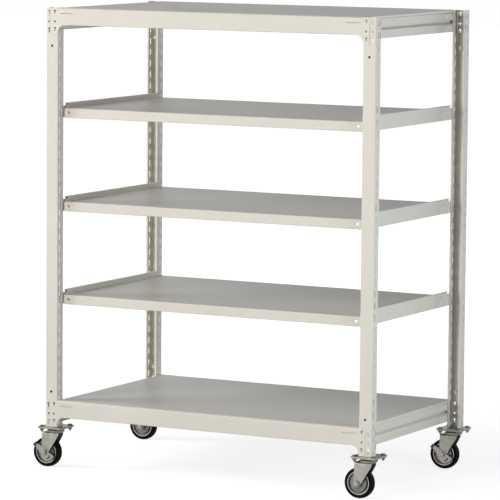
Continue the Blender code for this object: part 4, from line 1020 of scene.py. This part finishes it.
# Two casters on opposite corners have a foot brake: a 2 mm cam plate on the axle with a
# curved slot, and a black moulded cap on the end of its arm.
CAM_RADIUS, CAM_GROWTH = 0.0145, 0.024
ROOT_HALF, ROOT = 0.0118, 0.0085
lean = math.radians(143.0)
along = Vector((math.cos(lean), 0.0, math.sin(lean)))
across = Vector((-math.sin(lean), 0.0, math.cos(lean)))
hub = Vector((AXLE[0], AXIS_Y - 0.0218, AXLE[2]))


def on_arm(u, v, depth=0.0):
    """A point of the lever's arm, across it and along it from the axle."""
    return hub + along * v + across * u + Vector((0.0, depth, 0.0))


def around(radius, angle, depth=0.0):
    """A point about the axle."""
    return hub + Vector((radius * math.cos(angle), depth, radius * math.sin(angle)))


cam = [on_arm(u, v) for u, v in (
    (-ROOT_HALF, ROOT), (-0.0050, 0.044), (0.0050, 0.044), (ROOT_HALF, ROOT))]
cam += [around(CAM_RADIUS + CAM_GROWTH * share, math.radians(212.0 + 133.0 * share))
        for share in (step / 28 for step in range(29))]
first, last = math.radians(370.0), math.tau + lean - math.atan2(ROOT_HALF, ROOT)
cam += [around(CAM_RADIUS, first + (last - first) * step / 12) for step in range(12)]
lever = flat_sheet("lever", cam, (0.0, -0.0020, 0.0), [(cam[1:3], 0.002, 4), ([cam[32]], 0.003, 4)])
slot = [around(radius, math.radians(292.0 + 46.0 * step / 12), 0.004)
        for radius, steps in ((0.0255, range(13)), (0.0215, range(12, -1, -1))) for step in steps]
work(lever, [flat_sheet("slot", slot, (0.0, -0.010, 0.0)),
             peg("bore", hub, 0.0056, 0.012, "y", 24)])
soften(lever, 0.0004, 2)
outline = [on_arm(u, v, 0.0045) for u, v in (
    (-0.0072, 0.0400), (-0.0072, 0.0478), (0.0072, 0.0478), (0.0072, 0.0400))]
cap = flat_sheet("cap", outline, (0.0, -0.011, 0.0), [(outline, 0.0028, 5)])
pocket = [on_arm(u, v, 0.0003) for u, v in (
    (-0.0053, 0.036), (-0.0053, 0.0443), (0.0053, 0.0443), (0.0053, 0.036))]
soften(cap, 0.0014, 4, 50.0)
work(cap, [flat_sheet("pocket", pocket, (0.0, -0.0026, 0.0))])
soften(cap)
black_cap = finish_with(rubber_skin, "black_cap", {
    "Rubber": (0.016, 0.016, 0.017), "Dust": (0.08, 0.078, 0.072), "Dust amount": 0.12,
    "Dullness": 0.40}, specular=0.4, bump=0.00002)
for end, side in BRAKED:
    corner, shift = f"{end}_{side}", PLACES[end, side]
    body = f"brake_{corner}"
    settle(copy_across(lever, f"cam_lever_{corner}", shift), zinc, f"brake_lever_{corner}",
           body)
    settle(copy_across(cap, f"foot_cap_{corner}", shift), black_cap, f"brake_pedal_{corner}",
           body)
put_away(lever, cap)
